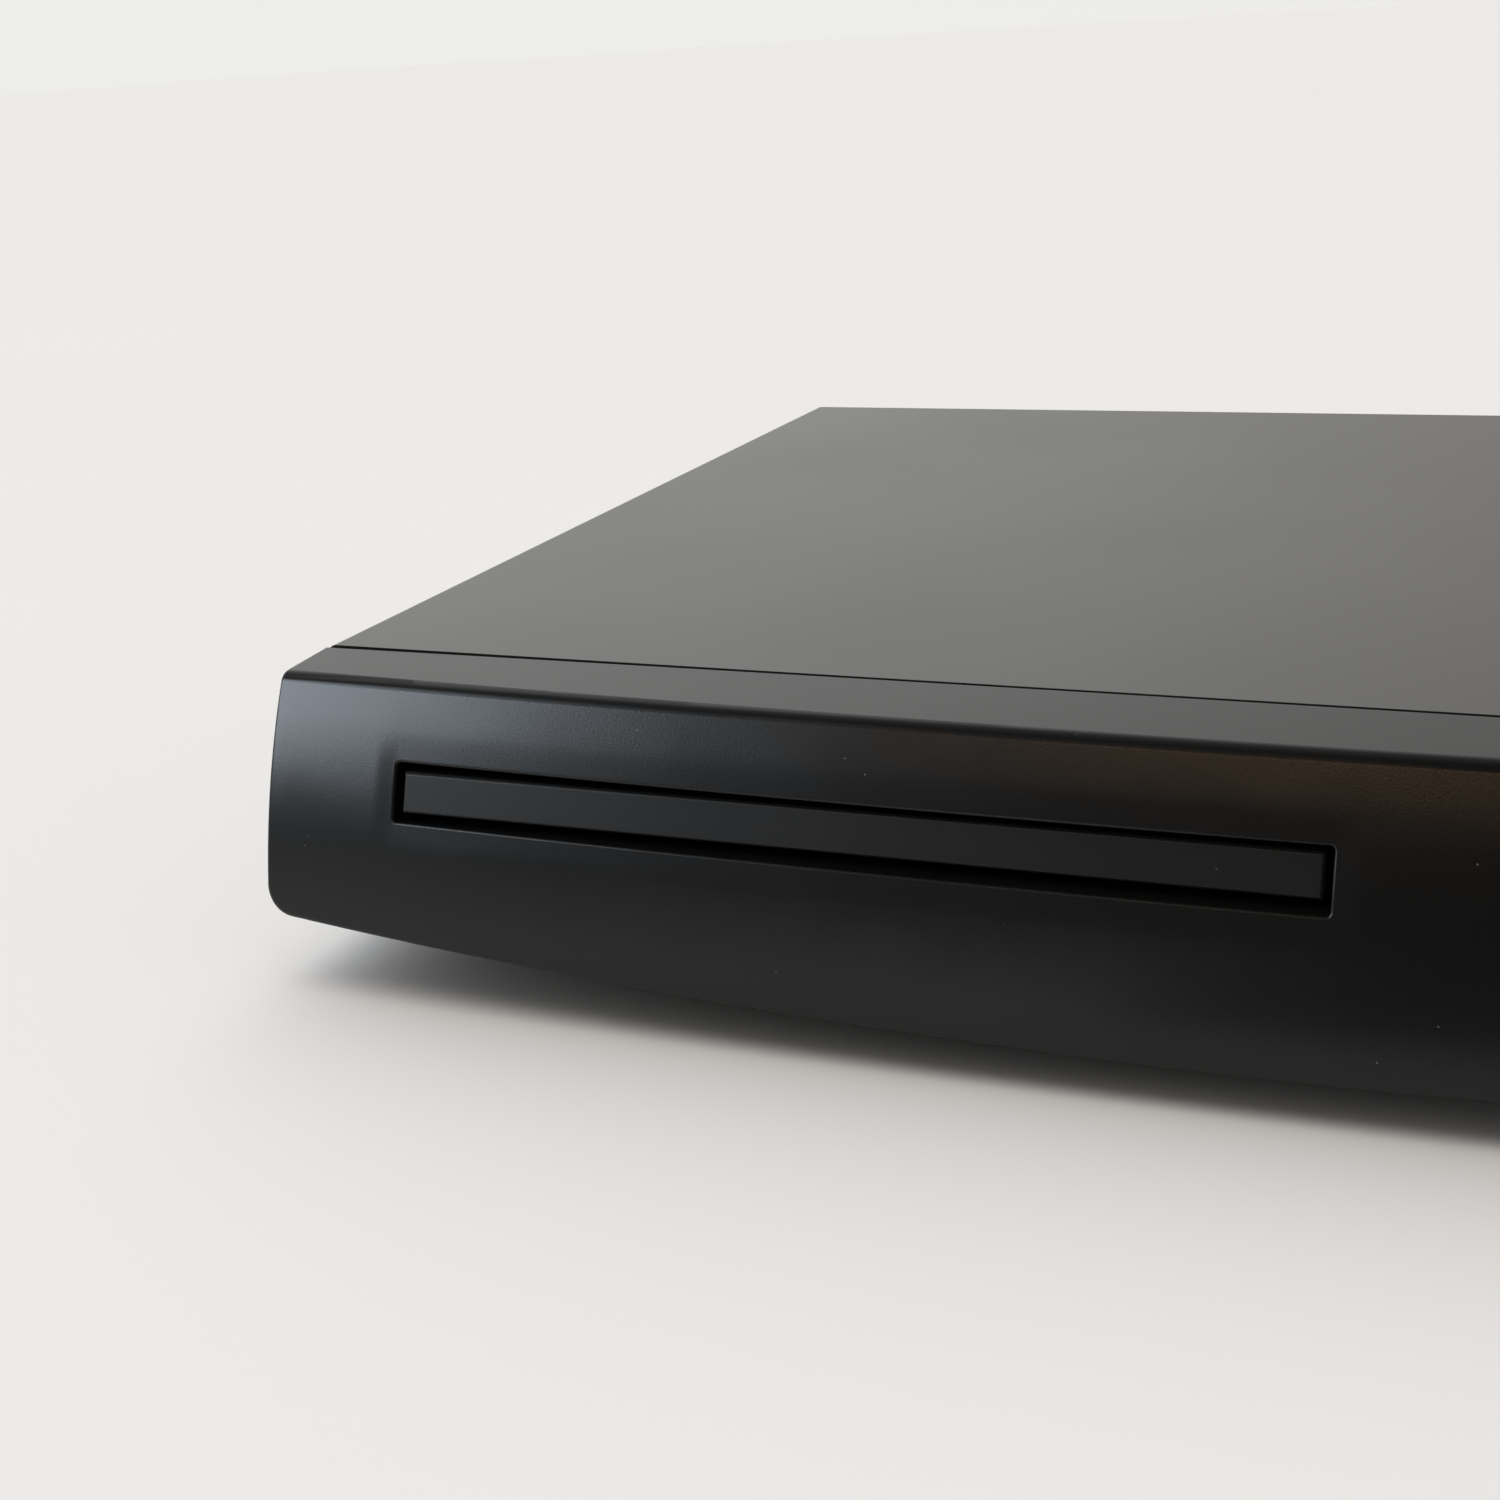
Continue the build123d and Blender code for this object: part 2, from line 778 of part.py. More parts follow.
# Loader chassis

loader_top = tray_top + loader_top_rise
loader_front = -collar_back + 0.3
loader_rear = tray_length - door_back + 4
shelf_z = tray_under - shelf_drop
shelf_rear = slider_front - slide_gap
slider_rear = slider_front + slider_thickness
loader_foot = floor_z + slide_gap
rail_top = slider_bottom - slide_gap
gear_y = seam_y + gear_setback
rack_pitch_radius = rack_module * rack_pinion_teeth / 2
rack_x = tray_x + tray_half - rack_inset
tray_gear_x = rack_x - rack_pitch_radius
pulley_gear_x = tray_gear_x - wheel_module * (wheel_teeth + pulley_pinion_teeth) / 2
motor_x = pulley_gear_x - belt_span
wheel_z = shelf_z + slide_gap
wheel_top = wheel_z + wheel_width
gear_top = tray_under - under_tray_gap
belt_z = gear_top - pulley_flange - belt_size / 2
motor_top = gear_top - 2 * pulley_flange - belt_size - slide_gap - 1.0
motor_bottom = motor_top - loading_motor_length
pin_top = gear_top - 0.1
loader_boss_ys = (seam_y + 14, seam_y + loader_rear - 16)
bridge_boss_y = spindle_y
ear_inner = lift_half_width + 0.5
lift_reach = pivot_setback + 4
hat_radius = loading_motor_radius + 2

with BuildPart() as loader_chassis:
    for side in (-1, 1):
        wall = sorted((side * loader_half, side * loader_outer))
        block(beside_tray(*wall), behind_seam(loader_front, 3),
              (shelf_z - shelf_thickness, loader_top))
        block(beside_tray(*wall), behind_seam(2, loader_rear), (loader_foot, loader_top))
        inward = sorted((side * (tray_half - 3), side * loader_half))
        block(beside_tray(*inward), behind_seam(loader_front, loader_rear),
              (tray_under - slide_gap - rail_height, tray_under - slide_gap))
        for near, far in ((4, 24), (72, 96), (134, 154)):
            block(beside_tray(*inward), behind_seam(near, far),
                  (tray_top + slide_gap, tray_top + slide_gap + 1.5))
    block(beside_tray(-loader_outer, loader_outer), behind_seam(loader_front, shelf_rear),
          (shelf_z - shelf_thickness, shelf_z))
    block(beside_tray(-loader_outer, loader_outer), behind_seam(shelf_rear - 1.8, shelf_rear),
          (loader_foot, shelf_z))
    block(beside_tray(-loader_outer, loader_outer),
          behind_seam(shelf_rear - 1.8, slider_rear + slide_gap + 1), (loader_foot, rail_top))
    block(beside_tray(-loader_outer, loader_outer),
          behind_seam(slider_rear + slide_gap, slider_rear + slide_gap + 1),
          (loader_foot, rail_top + 1.3))
    block(beside_tray(-loader_outer, loader_outer),
          behind_seam(loader_rear - loader_wall, loader_rear), (loader_foot, tray_under - 1))
    block(beside_tray(-loader_outer, loader_outer), behind_seam(loader_rear - 24, loader_rear),
          (loader_foot, loader_foot + 1.5))
    for side in (-1, 1):
        ear = sorted((side * ear_inner, side * (ear_inner + 3)))
        block(beside_tray(*ear), behind_seam(pivot_setback - 6, pivot_setback + 6),
              (loader_foot, pivot_height + 5))
        axle(pivot_y, pivot_height, pivot_radius + running_gap, beside_tray(*ear), Mode.SUBTRACT)
    post(motor_x, gear_y, hat_radius, (shelf_z - shelf_thickness, motor_top + 1))
    post(motor_x, gear_y, loading_motor_radius, (shelf_z - shelf_thickness - 1, motor_top),
         Mode.SUBTRACT)
    post(motor_x, gear_y, 3.0, (motor_top - 1, motor_top + 2), Mode.SUBTRACT)
    for x in (tray_gear_x, pulley_gear_x):
        post(x, gear_y, 2 * gear_pin_radius, (shelf_z, wheel_z))
        post(x, gear_y, gear_pin_radius, (shelf_z, pin_top))
    for x in boss_xs:
        for y in loader_boss_ys:
            post(x, y, loader_boss_radius, (floor_z, floor_z + loader_boss_height))
            near = tray_x + (x > tray_x) * (loader_outer - 0.5) - (x < tray_x) * (loader_outer - 0.5)
            block(sorted((near, x)), about(y, loader_boss_radius),
                  (loader_foot, floor_z + loader_boss_height))
            post(x, y, screw_radius, (floor_z - 1, floor_z + loader_boss_height + 1), Mode.SUBTRACT)
        near = tray_x + (x > tray_x) * (loader_outer - 0.5) - (x < tray_x) * (loader_outer - 0.5)
        for y in (bridge_boss_y - 10, bridge_boss_y + 10):
            post(x, y, 3.5, (loader_top - 8, loader_top))
            block(sorted((near, x)), about(y, 3.5), (loader_top - 8, loader_top))
            post(x, y, screw_radius, (loader_top - 7, loader_top + 1), Mode.SUBTRACT)
save(loader_chassis.part, "loader_chassis")

bridge_z = (loader_top, loader_top + bridge_sheet)
bridge_x = (boss_xs[0] - 4, boss_xs[1] + 4)
clamp_bottom = tray_top + 0.4
clamp_hole = clamp_neck + 0.5
cap_z = bridge_z[1] + running_gap

with BuildPart() as clamp_bridge:
    block(bridge_x, about(spindle_y, bridge_half_width), bridge_z)
    for side in (-1, 1):
        edge = sorted((side * (bridge_half_width - 1.2), side * bridge_half_width))
        block(beside_tray(-loader_half, loader_half), (spindle_y + edge[0], spindle_y + edge[1]),
              (bridge_z[0], bridge_z[1] + bridge_flange))
    fillet(clamp_bridge.edges().filter_by(Axis.Z).group_by(Axis.X)[0], 3)
    fillet(clamp_bridge.edges().filter_by(Axis.Z).group_by(Axis.X)[-1], 3)
    post(tray_x, spindle_y, clamp_hole, (bridge_z[0] - 1, bridge_z[1] + 1), Mode.SUBTRACT)
    for x in boss_xs:
        for y in (bridge_boss_y - 10, bridge_boss_y + 10):
            post(x, y, screw_radius, (bridge_z[0] - 1, bridge_z[1] + 1), Mode.SUBTRACT)
save(clamp_bridge.part, "clamp_bridge")

with BuildPart() as disc_clamp:
    turned(Plane((tray_x, spindle_y, 0)), [
        (0, cap_z - 1.5), (hub_radius + 1, cap_z - 1.5), (hub_radius + 1, clamp_bottom + 0.4),
        (clamp_radius - 4, clamp_bottom + 0.4), (clamp_radius - 4, clamp_bottom),
        (clamp_radius, clamp_bottom), (clamp_radius, bridge_z[0] - 0.6),
        (clamp_neck, bridge_z[0] - 0.6), (clamp_neck, cap_z), (0, cap_z),
    ])
save(disc_clamp.part, "disc_clamp")

with BuildPart() as clamp_cap:
    turned(Plane((tray_x, spindle_y, 0)), [
        (0, cap_z), (clamp_radius, cap_z), (clamp_radius, cap_z + 0.8),
        (clamp_neck - 1, cap_z + 1.4), (3, cap_z + 1.4), (2, cap_z + 0.9), (0, cap_z + 0.9),
    ])
save(clamp_cap.part, "clamp_cap")

# Disc tray and door

guide_x = tray_x - guide_pin_offset
slider_mid = slider_front + slider_thickness / 2
rib_gap = guide_pin_radius + 0.5
cross_y = (slider_mid - rib_gap, slider_mid + rib_gap)
rib_z = (tray_under - guide_rib_height, tray_under)
rib_near = guide_x - rib_gap - guide_rib
rib_far = guide_x + rib_gap
rack_y = (tray_front + 3, tray_rear - 3)
tail_y = spindle_y + disc_recess_radius + 4

with BuildPart() as disc_tray:
    block(beside_tray(-tray_half, tray_half), (tray_front, tray_rear), (tray_under, tray_top))
    fillet(disc_tray.edges().filter_by(Axis.Z).group_by(Axis.Y)[-1], 6)
    post(tray_x, spindle_y, disc_recess_radius, (recess_floor, tray_top + 1), Mode.SUBTRACT)
    post(tray_x, spindle_y, small_recess_radius, (recess_floor - small_recess_depth, tray_top),
         Mode.SUBTRACT)
    for side in (-1, 1):
        post(tray_x + side * 0.72 * disc_recess_radius, spindle_y - 0.72 * disc_recess_radius,
             finger_radius, (recess_floor, tray_top + 1), Mode.SUBTRACT)
    with BuildSketch(level(tray_under - 1)):
        with Locations((tray_x, spindle_y + (window_reach - window_half_width) / 2)):
            RectangleRounded(2 * window_half_width, window_reach + window_half_width, window_corner)
    extrude(amount=tray_top - tray_under + 2, mode=Mode.SUBTRACT)
    for side in (-1, 1):
        pocket = sorted((side, side * (guide_pin_offset - 7)))
        block(beside_tray(*pocket), (tail_y, tray_rear - 5), (tray_under - 1, tray_top - 1.6),
              Mode.SUBTRACT)
    with BuildSketch(level(tray_under - rack_height)):
        add(rack_outline(rack_x, -1, rack_back, gear_y, rack_y, rack_module))
    extrude(amount=rack_height)
    for x, y in (
        ((rib_near, rib_near + guide_rib), (tray_front + 8, tray_rear - 4)),
        ((rib_far, rib_far + guide_rib), behind_seam(cross_y[1], tray_length - door_back - 4)),
        ((rib_far, rib_far + cam_travel + 2), behind_seam(cross_y[1], cross_y[1] + guide_rib)),
        ((rib_far, rib_far + cam_travel + 2), behind_seam(cross_y[0] - guide_rib, cross_y[0])),
        ((rib_near, rib_far + guide_rib), behind_seam(cross_y[0] - guide_rib, cross_y[0])),
    ):
        block(x, y, rib_z)
save(disc_tray.part, "disc_tray")

door_half = opening_width / 2 - door_gap
door_z = (opening_bottom + door_gap, opening_top - door_gap)
door_swing_slope = door_swing / (2 * door_half)
door_front = Plane(
    origin=(tray_x, seam_y - door_setback - door_swing / 2, door_z[1]),
    x_dir=(1, -door_swing_slope, 0),
    z_dir=(-door_swing_slope, -1, tan(radians(door_lean))),
)
with BuildPart() as tray_door:
    block(beside_tray(-door_half, door_half), (tray_front - front_reach, tray_front), door_z)
    split(bisect_by=door_front, keep=Keep.BOTTOM)
    front_face = tray_door.faces().sort_by(Axis.Y)[0]
    chamfer(front_face.edges(), door_edge)
    for side in (-1, 1):
        block(about(tray_x + side * (door_half - 8), 4), (tray_front - 2, tray_front),
              (door_z[0], tray_top))
save(tray_door.part, "tray_door")

# Tray drive

with BuildPart() as tray_motor:
    turned(Plane((motor_x, gear_y, 0)), [
        (0, motor_bottom - 1), (2.5, motor_bottom - 1), (2.5, motor_bottom),
        (loading_motor_radius - 0.8, motor_bottom), (loading_motor_radius, motor_bottom + 0.8),
        (loading_motor_radius, motor_top), (2.5, motor_top), (2.5, motor_top + 1),
        (motor_shaft_radius + running_gap, motor_top + 1),
        (motor_shaft_radius + running_gap, motor_top - 6),
        (0, motor_top - 6),
    ])
save(tray_motor.part, "tray_motor")


def pulley_profile(radius, bore, foot):
    """Half the section of a belt pulley, from its foot to the gears' top."""
    groove = radius - belt_size / 2 - belt_gap
    rim = radius + pulley_flange
    low = belt_z - belt_size / 2 - belt_gap
    high = belt_z + belt_size / 2 + belt_gap
    return [
        (bore, foot), (groove, foot), (rim, low - 0.6), (rim, low - 0.3), (groove, low),
        (groove, high), (rim, high + 0.3), (rim, gear_top - 0.1), (bore, gear_top - 0.1),
    ]


with BuildPart() as motor_pulley:
    turned(Plane((motor_x, gear_y, 0)), [
        (0, motor_top - 5.5), (motor_shaft_radius, motor_top - 5.5),
        *pulley_profile(motor_pulley_radius, motor_shaft_radius, motor_top + 1.3)[:-1],
        (0, gear_top - 0.1),
    ])
save(motor_pulley.part, "motor_pulley")

pulley_bore = gear_pin_radius + running_gap
with BuildPart() as pulley_gear:
    turned(Plane((pulley_gear_x, gear_y, 0)),
           pulley_profile(pulley_radius, pulley_bore, wheel_top + 0.3))
    turned(Plane((pulley_gear_x, gear_y, 0)), [
        (pulley_bore, wheel_top - 0.2), (3.2, wheel_top - 0.2),
        (3.2, wheel_top + 0.4), (pulley_bore, wheel_top + 0.4),
    ])
    with BuildSketch(Plane((pulley_gear_x, gear_y, wheel_z))):
        add(gear_outline(pulley_pinion_teeth, wheel_module, 180 / pulley_pinion_teeth))
        Circle(pulley_bore, mode=Mode.SUBTRACT)
    extrude(amount=wheel_width)
save(pulley_gear.part, "pulley_gear")

with BuildPart() as tray_gear:
    with BuildSketch(Plane((tray_gear_x, gear_y, wheel_z))):
        add(gear_outline(wheel_teeth, wheel_module, 180))
        Circle(pulley_bore, mode=Mode.SUBTRACT)
    extrude(amount=wheel_width)
    turned(Plane((tray_gear_x, gear_y, 0)), [
        (pulley_bore, wheel_top), (6.4, wheel_top), (6.4, tray_under - rack_height - 0.4),
        (pulley_bore, tray_under - rack_height - 0.4),
    ])
    with BuildSketch(Plane((tray_gear_x, gear_y, tray_under - rack_height - 0.4))):
        add(gear_outline(rack_pinion_teeth, rack_module, 0))
        Circle(pulley_bore, mode=Mode.SUBTRACT)
    extrude(amount=gear_top - tray_under + rack_height + 0.4)
save(tray_gear.part, "tray_gear")

with BuildPart() as drive_belt:
    with BuildSketch(level(belt_z - belt_size / 2)):
        with Locations((motor_x, gear_y)):
            Circle(motor_pulley_radius + belt_size / 2)
        with Locations((pulley_gear_x, gear_y)):
            Circle(pulley_radius + belt_size / 2)
        make_hull()
        offset(amount=-belt_size, mode=Mode.SUBTRACT)
    extrude(amount=belt_size)
save(drive_belt.part, "drive_belt")

# Cam slider

slider_high = tray_under - rib_gap - 1.6
slider_left = -guide_pin_offset - 4
slider_right = cam_pin_offset + 6
pin_arm = pivot_setback - slider_mid
cam_rise = pin_arm * sin(radians(lift_angle))
cam_low = cam_pin_height - cam_rise
slot_length = (cam_travel**2 + cam_rise**2) ** 0.5
slot_angle = degrees(atan2(cam_rise, -cam_travel))
slot_half = cam_pin_radius + slide_gap

with BuildPart() as cam_slider:
    block(beside_tray(slider_left, slider_right), behind_seam(slider_front, slider_rear),
          (slider_bottom, slider_high))
    fillet(cam_slider.edges().filter_by(Axis.Y), 1.5)
    with BuildSketch(facing(seam_y + slider_rear + 1)):
        for side in (-1, 1):
            x = tray_x + side * cam_pin_offset - cam_travel / 2
            with Locations((x, (cam_low + cam_pin_height) / 2)):
                SlotCenterToCenter(slot_length, 2 * slot_half, rotation=slot_angle)
    extrude(amount=slider_thickness + 2, mode=Mode.SUBTRACT)
    block(beside_tray(-16, 6), behind_seam(slider_front - 1, slider_rear + 1),
          (slider_bottom + 4, slider_high - 3), Mode.SUBTRACT)
    post(guide_x, seam_y + slider_mid, guide_pin_radius,
         (slider_high - 1, tray_under - under_tray_gap))
    split(bisect_by=facing(seam_y + slider_rear), keep=Keep.TOP)
    split(bisect_by=facing(seam_y + slider_front), keep=Keep.BOTTOM)
save(cam_slider.part, "cam_slider")

# Lift frame and pickup deck, drawn raised and placed lowered

deck_plane = lowered(Plane.XY)
deck_top = deck_bottom + deck_sheet
lug_z = (lift_bottom, lift_bottom + 2)
damper_ys = (lift_front + 9.5, pivot_setback - 21)
damper_xy = [(tray_x + side * damper_offset, seam_y + y) for side in (-1, 1) for y in damper_ys]
lift_cross = damper_ys[1] + 6

with BuildPart(deck_plane) as lift_frame:
    lift_z = (lift_bottom, lift_bottom + lift_height)
    inner = lift_half_width - lift_wall
    block(beside_tray(-lift_half_width, lift_half_width), behind_seam(lift_front, lift_reach),
          lift_z)
    block(beside_tray(-inner, inner), behind_seam(lift_front + lift_wall, lift_cross),
          (lift_bottom - 1, lift_bottom + lift_height + 1), Mode.SUBTRACT)
    block(beside_tray(-inner, inner), behind_seam(lift_cross + lift_wall, lift_reach + 1),
          (lift_bottom - 1, lift_bottom + lift_height + 1), Mode.SUBTRACT)
    for side in (-1, 1):
        axle(pivot_y, pivot_height, pivot_radius,
             beside_tray(*sorted((side * (lift_half_width - 1),
                                  side * (lift_half_width + pivot_length)))))
        peg(tray_x + side * cam_pin_offset, cam_pin_height, cam_pin_radius,
            behind_seam(slider_front + 0.1, lift_front + 1))
    for x, y in damper_xy:
        post(x, y, damper_radius + 0.8, lug_z)
        outer = tray_x + (lift_half_width - 1) * (1 if x > tray_x else -1)
        block(sorted((x, outer)), about(y, damper_radius + 0.8), lug_z)
        post(x, y, screw_radius, (lug_z[0] - 1, lug_z[1] + 1), Mode.SUBTRACT)
save(lift_frame.part, "lift_frame")

window_x_span = (tray_x - 13, tray_x + 13)
window_y_span = (spindle_y + lens_inner_radius - sled_half_length + 1,
                 spindle_y + lens_inner_radius + lens_travel + sled_half_length)
rod_y = (spindle_y + lens_inner_radius - sled_half_length - 3.5,
         spindle_y + lens_inner_radius + lens_travel + sled_half_length + 3.5)
sled_gear_x = tray_x + sled_rack_x + sled_module * sled_pinion_teeth / 2
sled_gear_y = spindle_y + sled_gear_setback
sled_gear_span = sled_module * (sled_wheel_teeth + motor_pinion_teeth) / 2
sled_motor_x = sled_gear_x + sled_gear_span * cos(radians(45))
sled_motor_y = sled_gear_y + sled_gear_span * sin(radians(45))
sled_rack_z = (deck_top + slide_gap, deck_top + 2.0)
sled_wheel_z = (sled_rack_z[1] + 0.2, sled_rack_z[1] + 1.6)
sled_pin_radius = 1.0
sled_bore = sled_pin_radius + running_gap
motor_hole = motor_shaft_radius + running_gap

with BuildPart(deck_plane) as traverse_deck:
    block(beside_tray(-deck_half_width, deck_half_width),
          (seam_y + lift_front + 4, seam_y + lift_cross - 1), (deck_bottom, deck_top))
    block(window_x_span, window_y_span, (deck_bottom - 1, deck_top + 1), Mode.SUBTRACT)
    post(tray_x, spindle_y, 5.0, (deck_bottom - 1, deck_top + 1), Mode.SUBTRACT)
    post(sled_motor_x, sled_motor_y, 2.2, (deck_bottom - 1, deck_top + 1), Mode.SUBTRACT)
    for x, y in damper_xy:
        post(x, y, damper_neck, (deck_bottom - 1, deck_top + 1), Mode.SUBTRACT)
    for side in (-1, 1):
        edge = sorted((side * (deck_half_width - deck_sheet), side * deck_half_width))
        block(beside_tray(*edge), (spindle_y + 4, spindle_y + 38), (deck_bottom - 2.4, deck_bottom))
        for y in (rod_y[0], rod_y[1] - 3):
            block(about(tray_x + side * rod_spacing / 2, 3.2), (y, y + 3),
                  (rod_height - rod_radius - 1, deck_bottom))
            peg(tray_x + side * rod_spacing / 2, rod_height, rod_radius, (y, y + 3), Mode.SUBTRACT)
    post(sled_gear_x, sled_gear_y, sled_pin_radius, (deck_top, sled_wheel_z[1] + 0.1))
save(traverse_deck.part, "traverse_deck")

with BuildPart(deck_plane) as rubber_dampers:
    for x, y in damper_xy:
        turned(lowered(Plane((x, y, 0))), [
            (screw_radius, lug_z[1]), (damper_radius, lug_z[1]), (damper_radius, deck_bottom),
            (damper_neck, deck_bottom), (damper_neck, deck_top), (damper_radius, deck_top),
            (damper_radius - 0.4, deck_top + 1.4), (screw_radius, deck_top + 1.4),
        ])
save(rubber_dampers.part, "rubber_dampers")

with BuildPart(deck_plane) as damper_screws:
    for x, y in damper_xy:
        turned(lowered(Plane((x, y, 0))), [
            (0, lug_z[0]), (screw_radius, lug_z[0]), (screw_radius, deck_top + 1.4),
            (screw_head_radius, deck_top + 1.4), (screw_head_radius - 0.4, deck_top + 2.4),
            (0, deck_top + 2.4),
        ])
save(damper_screws.part, "damper_screws")

spindle_motor_z = (deck_bottom - spindle_motor_height, deck_bottom)
with BuildPart(deck_plane) as spindle_motor:
    turned(lowered(Plane((tray_x, spindle_y, 0))), [
        (0, spindle_motor_z[0] - 0.6), (3, spindle_motor_z[0] - 0.6), (3, spindle_motor_z[0]),
        (spindle_motor_radius - 1, spindle_motor_z[0]), (spindle_motor_radius, spindle_motor_z[0] + 1),
        (spindle_motor_radius, deck_bottom), (4.6, deck_bottom), (4.6, deck_top + 0.4),
        (motor_hole, deck_top + 0.4), (motor_hole, spindle_motor_z[0] + 1), (0, spindle_motor_z[0] + 1),
    ])
save(spindle_motor.part, "spindle_motor")

mat_depth = 0.4
mat_inner = hub_radius + 3.6
with BuildPart(deck_plane) as turntable:
    turned(lowered(Plane((tray_x, spindle_y, 0))), [
        (0, spindle_motor_z[0] + 1.4), (motor_shaft_radius, spindle_motor_z[0] + 1.4),
        (motor_shaft_radius, deck_top + 0.7), (4.2, deck_top + 0.7), (5.2, seat_z - platter_thickness),
        (platter_radius, seat_z - platter_thickness), (platter_radius, seat_z),
        (platter_radius - 0.4, seat_z),
        (platter_radius - 0.4, seat_z - mat_depth), (mat_inner, seat_z - mat_depth), (mat_inner, seat_z),
        (hub_radius, seat_z), (hub_radius, seat_z + 0.4 * hub_height), (hub_radius - 1.2, hub_top),
        (3.4, hub_top), (3.4, hub_top - 0.8), (0, hub_top - 0.8),
    ])
save(turntable.part, "turntable")

with BuildPart(deck_plane) as turntable_mat:
    turned(lowered(Plane((tray_x, spindle_y, 0))), [
        (mat_inner, seat_z - mat_depth), (platter_radius - 0.4, seat_z - mat_depth),
        (platter_radius - 0.4, seat_z), (mat_inner, seat_z),
    ])
save(turntable_mat.part, "turntable_mat")

with BuildPart(deck_plane) as guide_rods:
    for side in (-1, 1):
        peg(tray_x + side * rod_spacing / 2, rod_height, rod_radius, rod_y)
save(guide_rods.part, "guide_rods")

lens_y = spindle_y + lens_inner_radius
sled_y = about(lens_y, sled_half_length - 0.3)
sled_neck = about(tray_x, 11)
rack_span = (sled_gear_y - lens_y - lens_travel - 6, sled_gear_y - lens_y + 6)
cover_top = tray_under - 0.1
holder_top = seat_z - lens_gap - 0.8
holder_radius = lens_radius + 0.9
cover_z = sled_rack_z[1]

with BuildPart(deck_plane) as pickup_sled:
    block(about(tray_x, rod_spacing / 2 + 4), sled_y, (rod_height - 3, deck_bottom - 0.4))
    block(sled_neck, about(lens_y, sled_half_length - 2), (deck_bottom - 1, cover_z))
    block((tray_x, tray_x + sled_rack_x - 3), about(lens_y, sled_half_length - 2),
          (sled_rack_z[0], cover_z))
    with BuildSketch(lowered(level(sled_rack_z[0]))):
        add(rack_outline(tray_x + sled_rack_x, 1, 3.4, sled_gear_y,
                         (lens_y + rack_span[0], lens_y + rack_span[1]), sled_module))
    extrude(amount=cover_z - sled_rack_z[0])
    post(tray_x, lens_y, holder_radius, (cover_z - 1, holder_top))
    for side in (-1, 1):
        peg(tray_x + side * rod_spacing / 2, rod_height, rod_radius + running_gap,
            (sled_y[0] - 1, sled_y[1] + 1), Mode.SUBTRACT)
save(pickup_sled.part, "pickup_sled")

with BuildPart(deck_plane) as lens_cover:
    block(about(tray_x, 10), about(lens_y, sled_half_length - 2.4), (cover_z, cover_top))
    fillet(lens_cover.edges().filter_by(lambda e: abs(e.length - cover_top + cover_z) < 0.01), 2)
    post(tray_x, lens_y, holder_radius + 0.5, (cover_z - 1, cover_top + 1), Mode.SUBTRACT)
save(lens_cover.part, "lens_cover")

with BuildPart(deck_plane) as objective_lens:
    turned(lowered(Plane((tray_x, lens_y, 0))), [
        (0, holder_top), (lens_radius, holder_top), (0.8 * lens_radius, holder_top + 0.5),
        (0.45 * lens_radius, holder_top + 0.75), (0, holder_top + 0.8),
    ])
save(objective_lens.part, "objective_lens")

sled_motor_z = (deck_bottom - sled_motor_length, deck_bottom)
with BuildPart(deck_plane) as sled_motor:
    turned(lowered(Plane((sled_motor_x, sled_motor_y, 0))), [
        (0, sled_motor_z[0]), (sled_motor_radius - 0.6, sled_motor_z[0]),
        (sled_motor_radius, sled_motor_z[0] + 0.6), (sled_motor_radius, deck_bottom),
        (2, deck_bottom), (2, deck_top), (motor_hole, deck_top),
        (motor_hole, sled_motor_z[0] + 2), (0, sled_motor_z[0] + 2),
    ])
save(sled_motor.part, "sled_motor")

sled_pinion_place = (sled_motor_x, sled_motor_y, 0)
with BuildPart(deck_plane) as sled_pinion:
    turned(lowered(Plane(sled_pinion_place)), [
        (0, sled_motor_z[0] + 2.4), (motor_shaft_radius, sled_motor_z[0] + 2.4),
        (motor_shaft_radius, sled_wheel_z[0]), (0, sled_wheel_z[0]),
    ])
    with BuildSketch(lowered(Plane((sled_motor_x, sled_motor_y, sled_wheel_z[0])))):
        add(gear_outline(motor_pinion_teeth, sled_module, 225 + 180 / motor_pinion_teeth))
    extrude(amount=sled_wheel_z[1] - sled_wheel_z[0])
save(sled_pinion.part, "sled_pinion")

with BuildPart(deck_plane) as sled_gear:
    with BuildSketch(lowered(Plane((sled_gear_x, sled_gear_y, sled_rack_z[0])))):
        add(gear_outline(sled_pinion_teeth, sled_module, 180))
        Circle(sled_bore, mode=Mode.SUBTRACT)
    extrude(amount=sled_wheel_z[0] - sled_rack_z[0])
    with BuildSketch(lowered(Plane((sled_gear_x, sled_gear_y, sled_wheel_z[0])))):
        add(gear_outline(sled_wheel_teeth, sled_module, 45))
        Circle(sled_bore, mode=Mode.SUBTRACT)
    extrude(amount=sled_wheel_z[1] - sled_wheel_z[0])
save(sled_gear.part, "sled_gear")

# Boards and what stands on them

def circuit_board(span_x, span_y):
    """A board with its screw holes, on the standoffs of the chassis."""
    with BuildPart() as board:
        block(span_x, span_y, (board_z, board_top))
        for x, y in board_holes:
            post(x, y, screw_radius, (board_z - 1, board_top + 1), Mode.SUBTRACT)
    return board.part


save(circuit_board(main_board_x, main_board_y), "main_board")
save(circuit_board(power_board_x, power_board_y), "power_board")

with BuildPart() as main_chips:
    for share, back, half_share, half_y, height in (
        (0.44, 38, 0.192, 10, 1.6),
        (0.27, 62, 0.077, 9, 1.2),
        (0.83, 30, 0.058, 5, 1.5),
        (0.62, 66, 0.096, 4, 1.2),
    ):
        x = main_board_x[0] + share * main_board_width
        block(about(x, half_share * main_board_width), about(main_board_y[0] + back, half_y),
              (board_top, board_top + height))
save(main_chips.part, "main_chips")

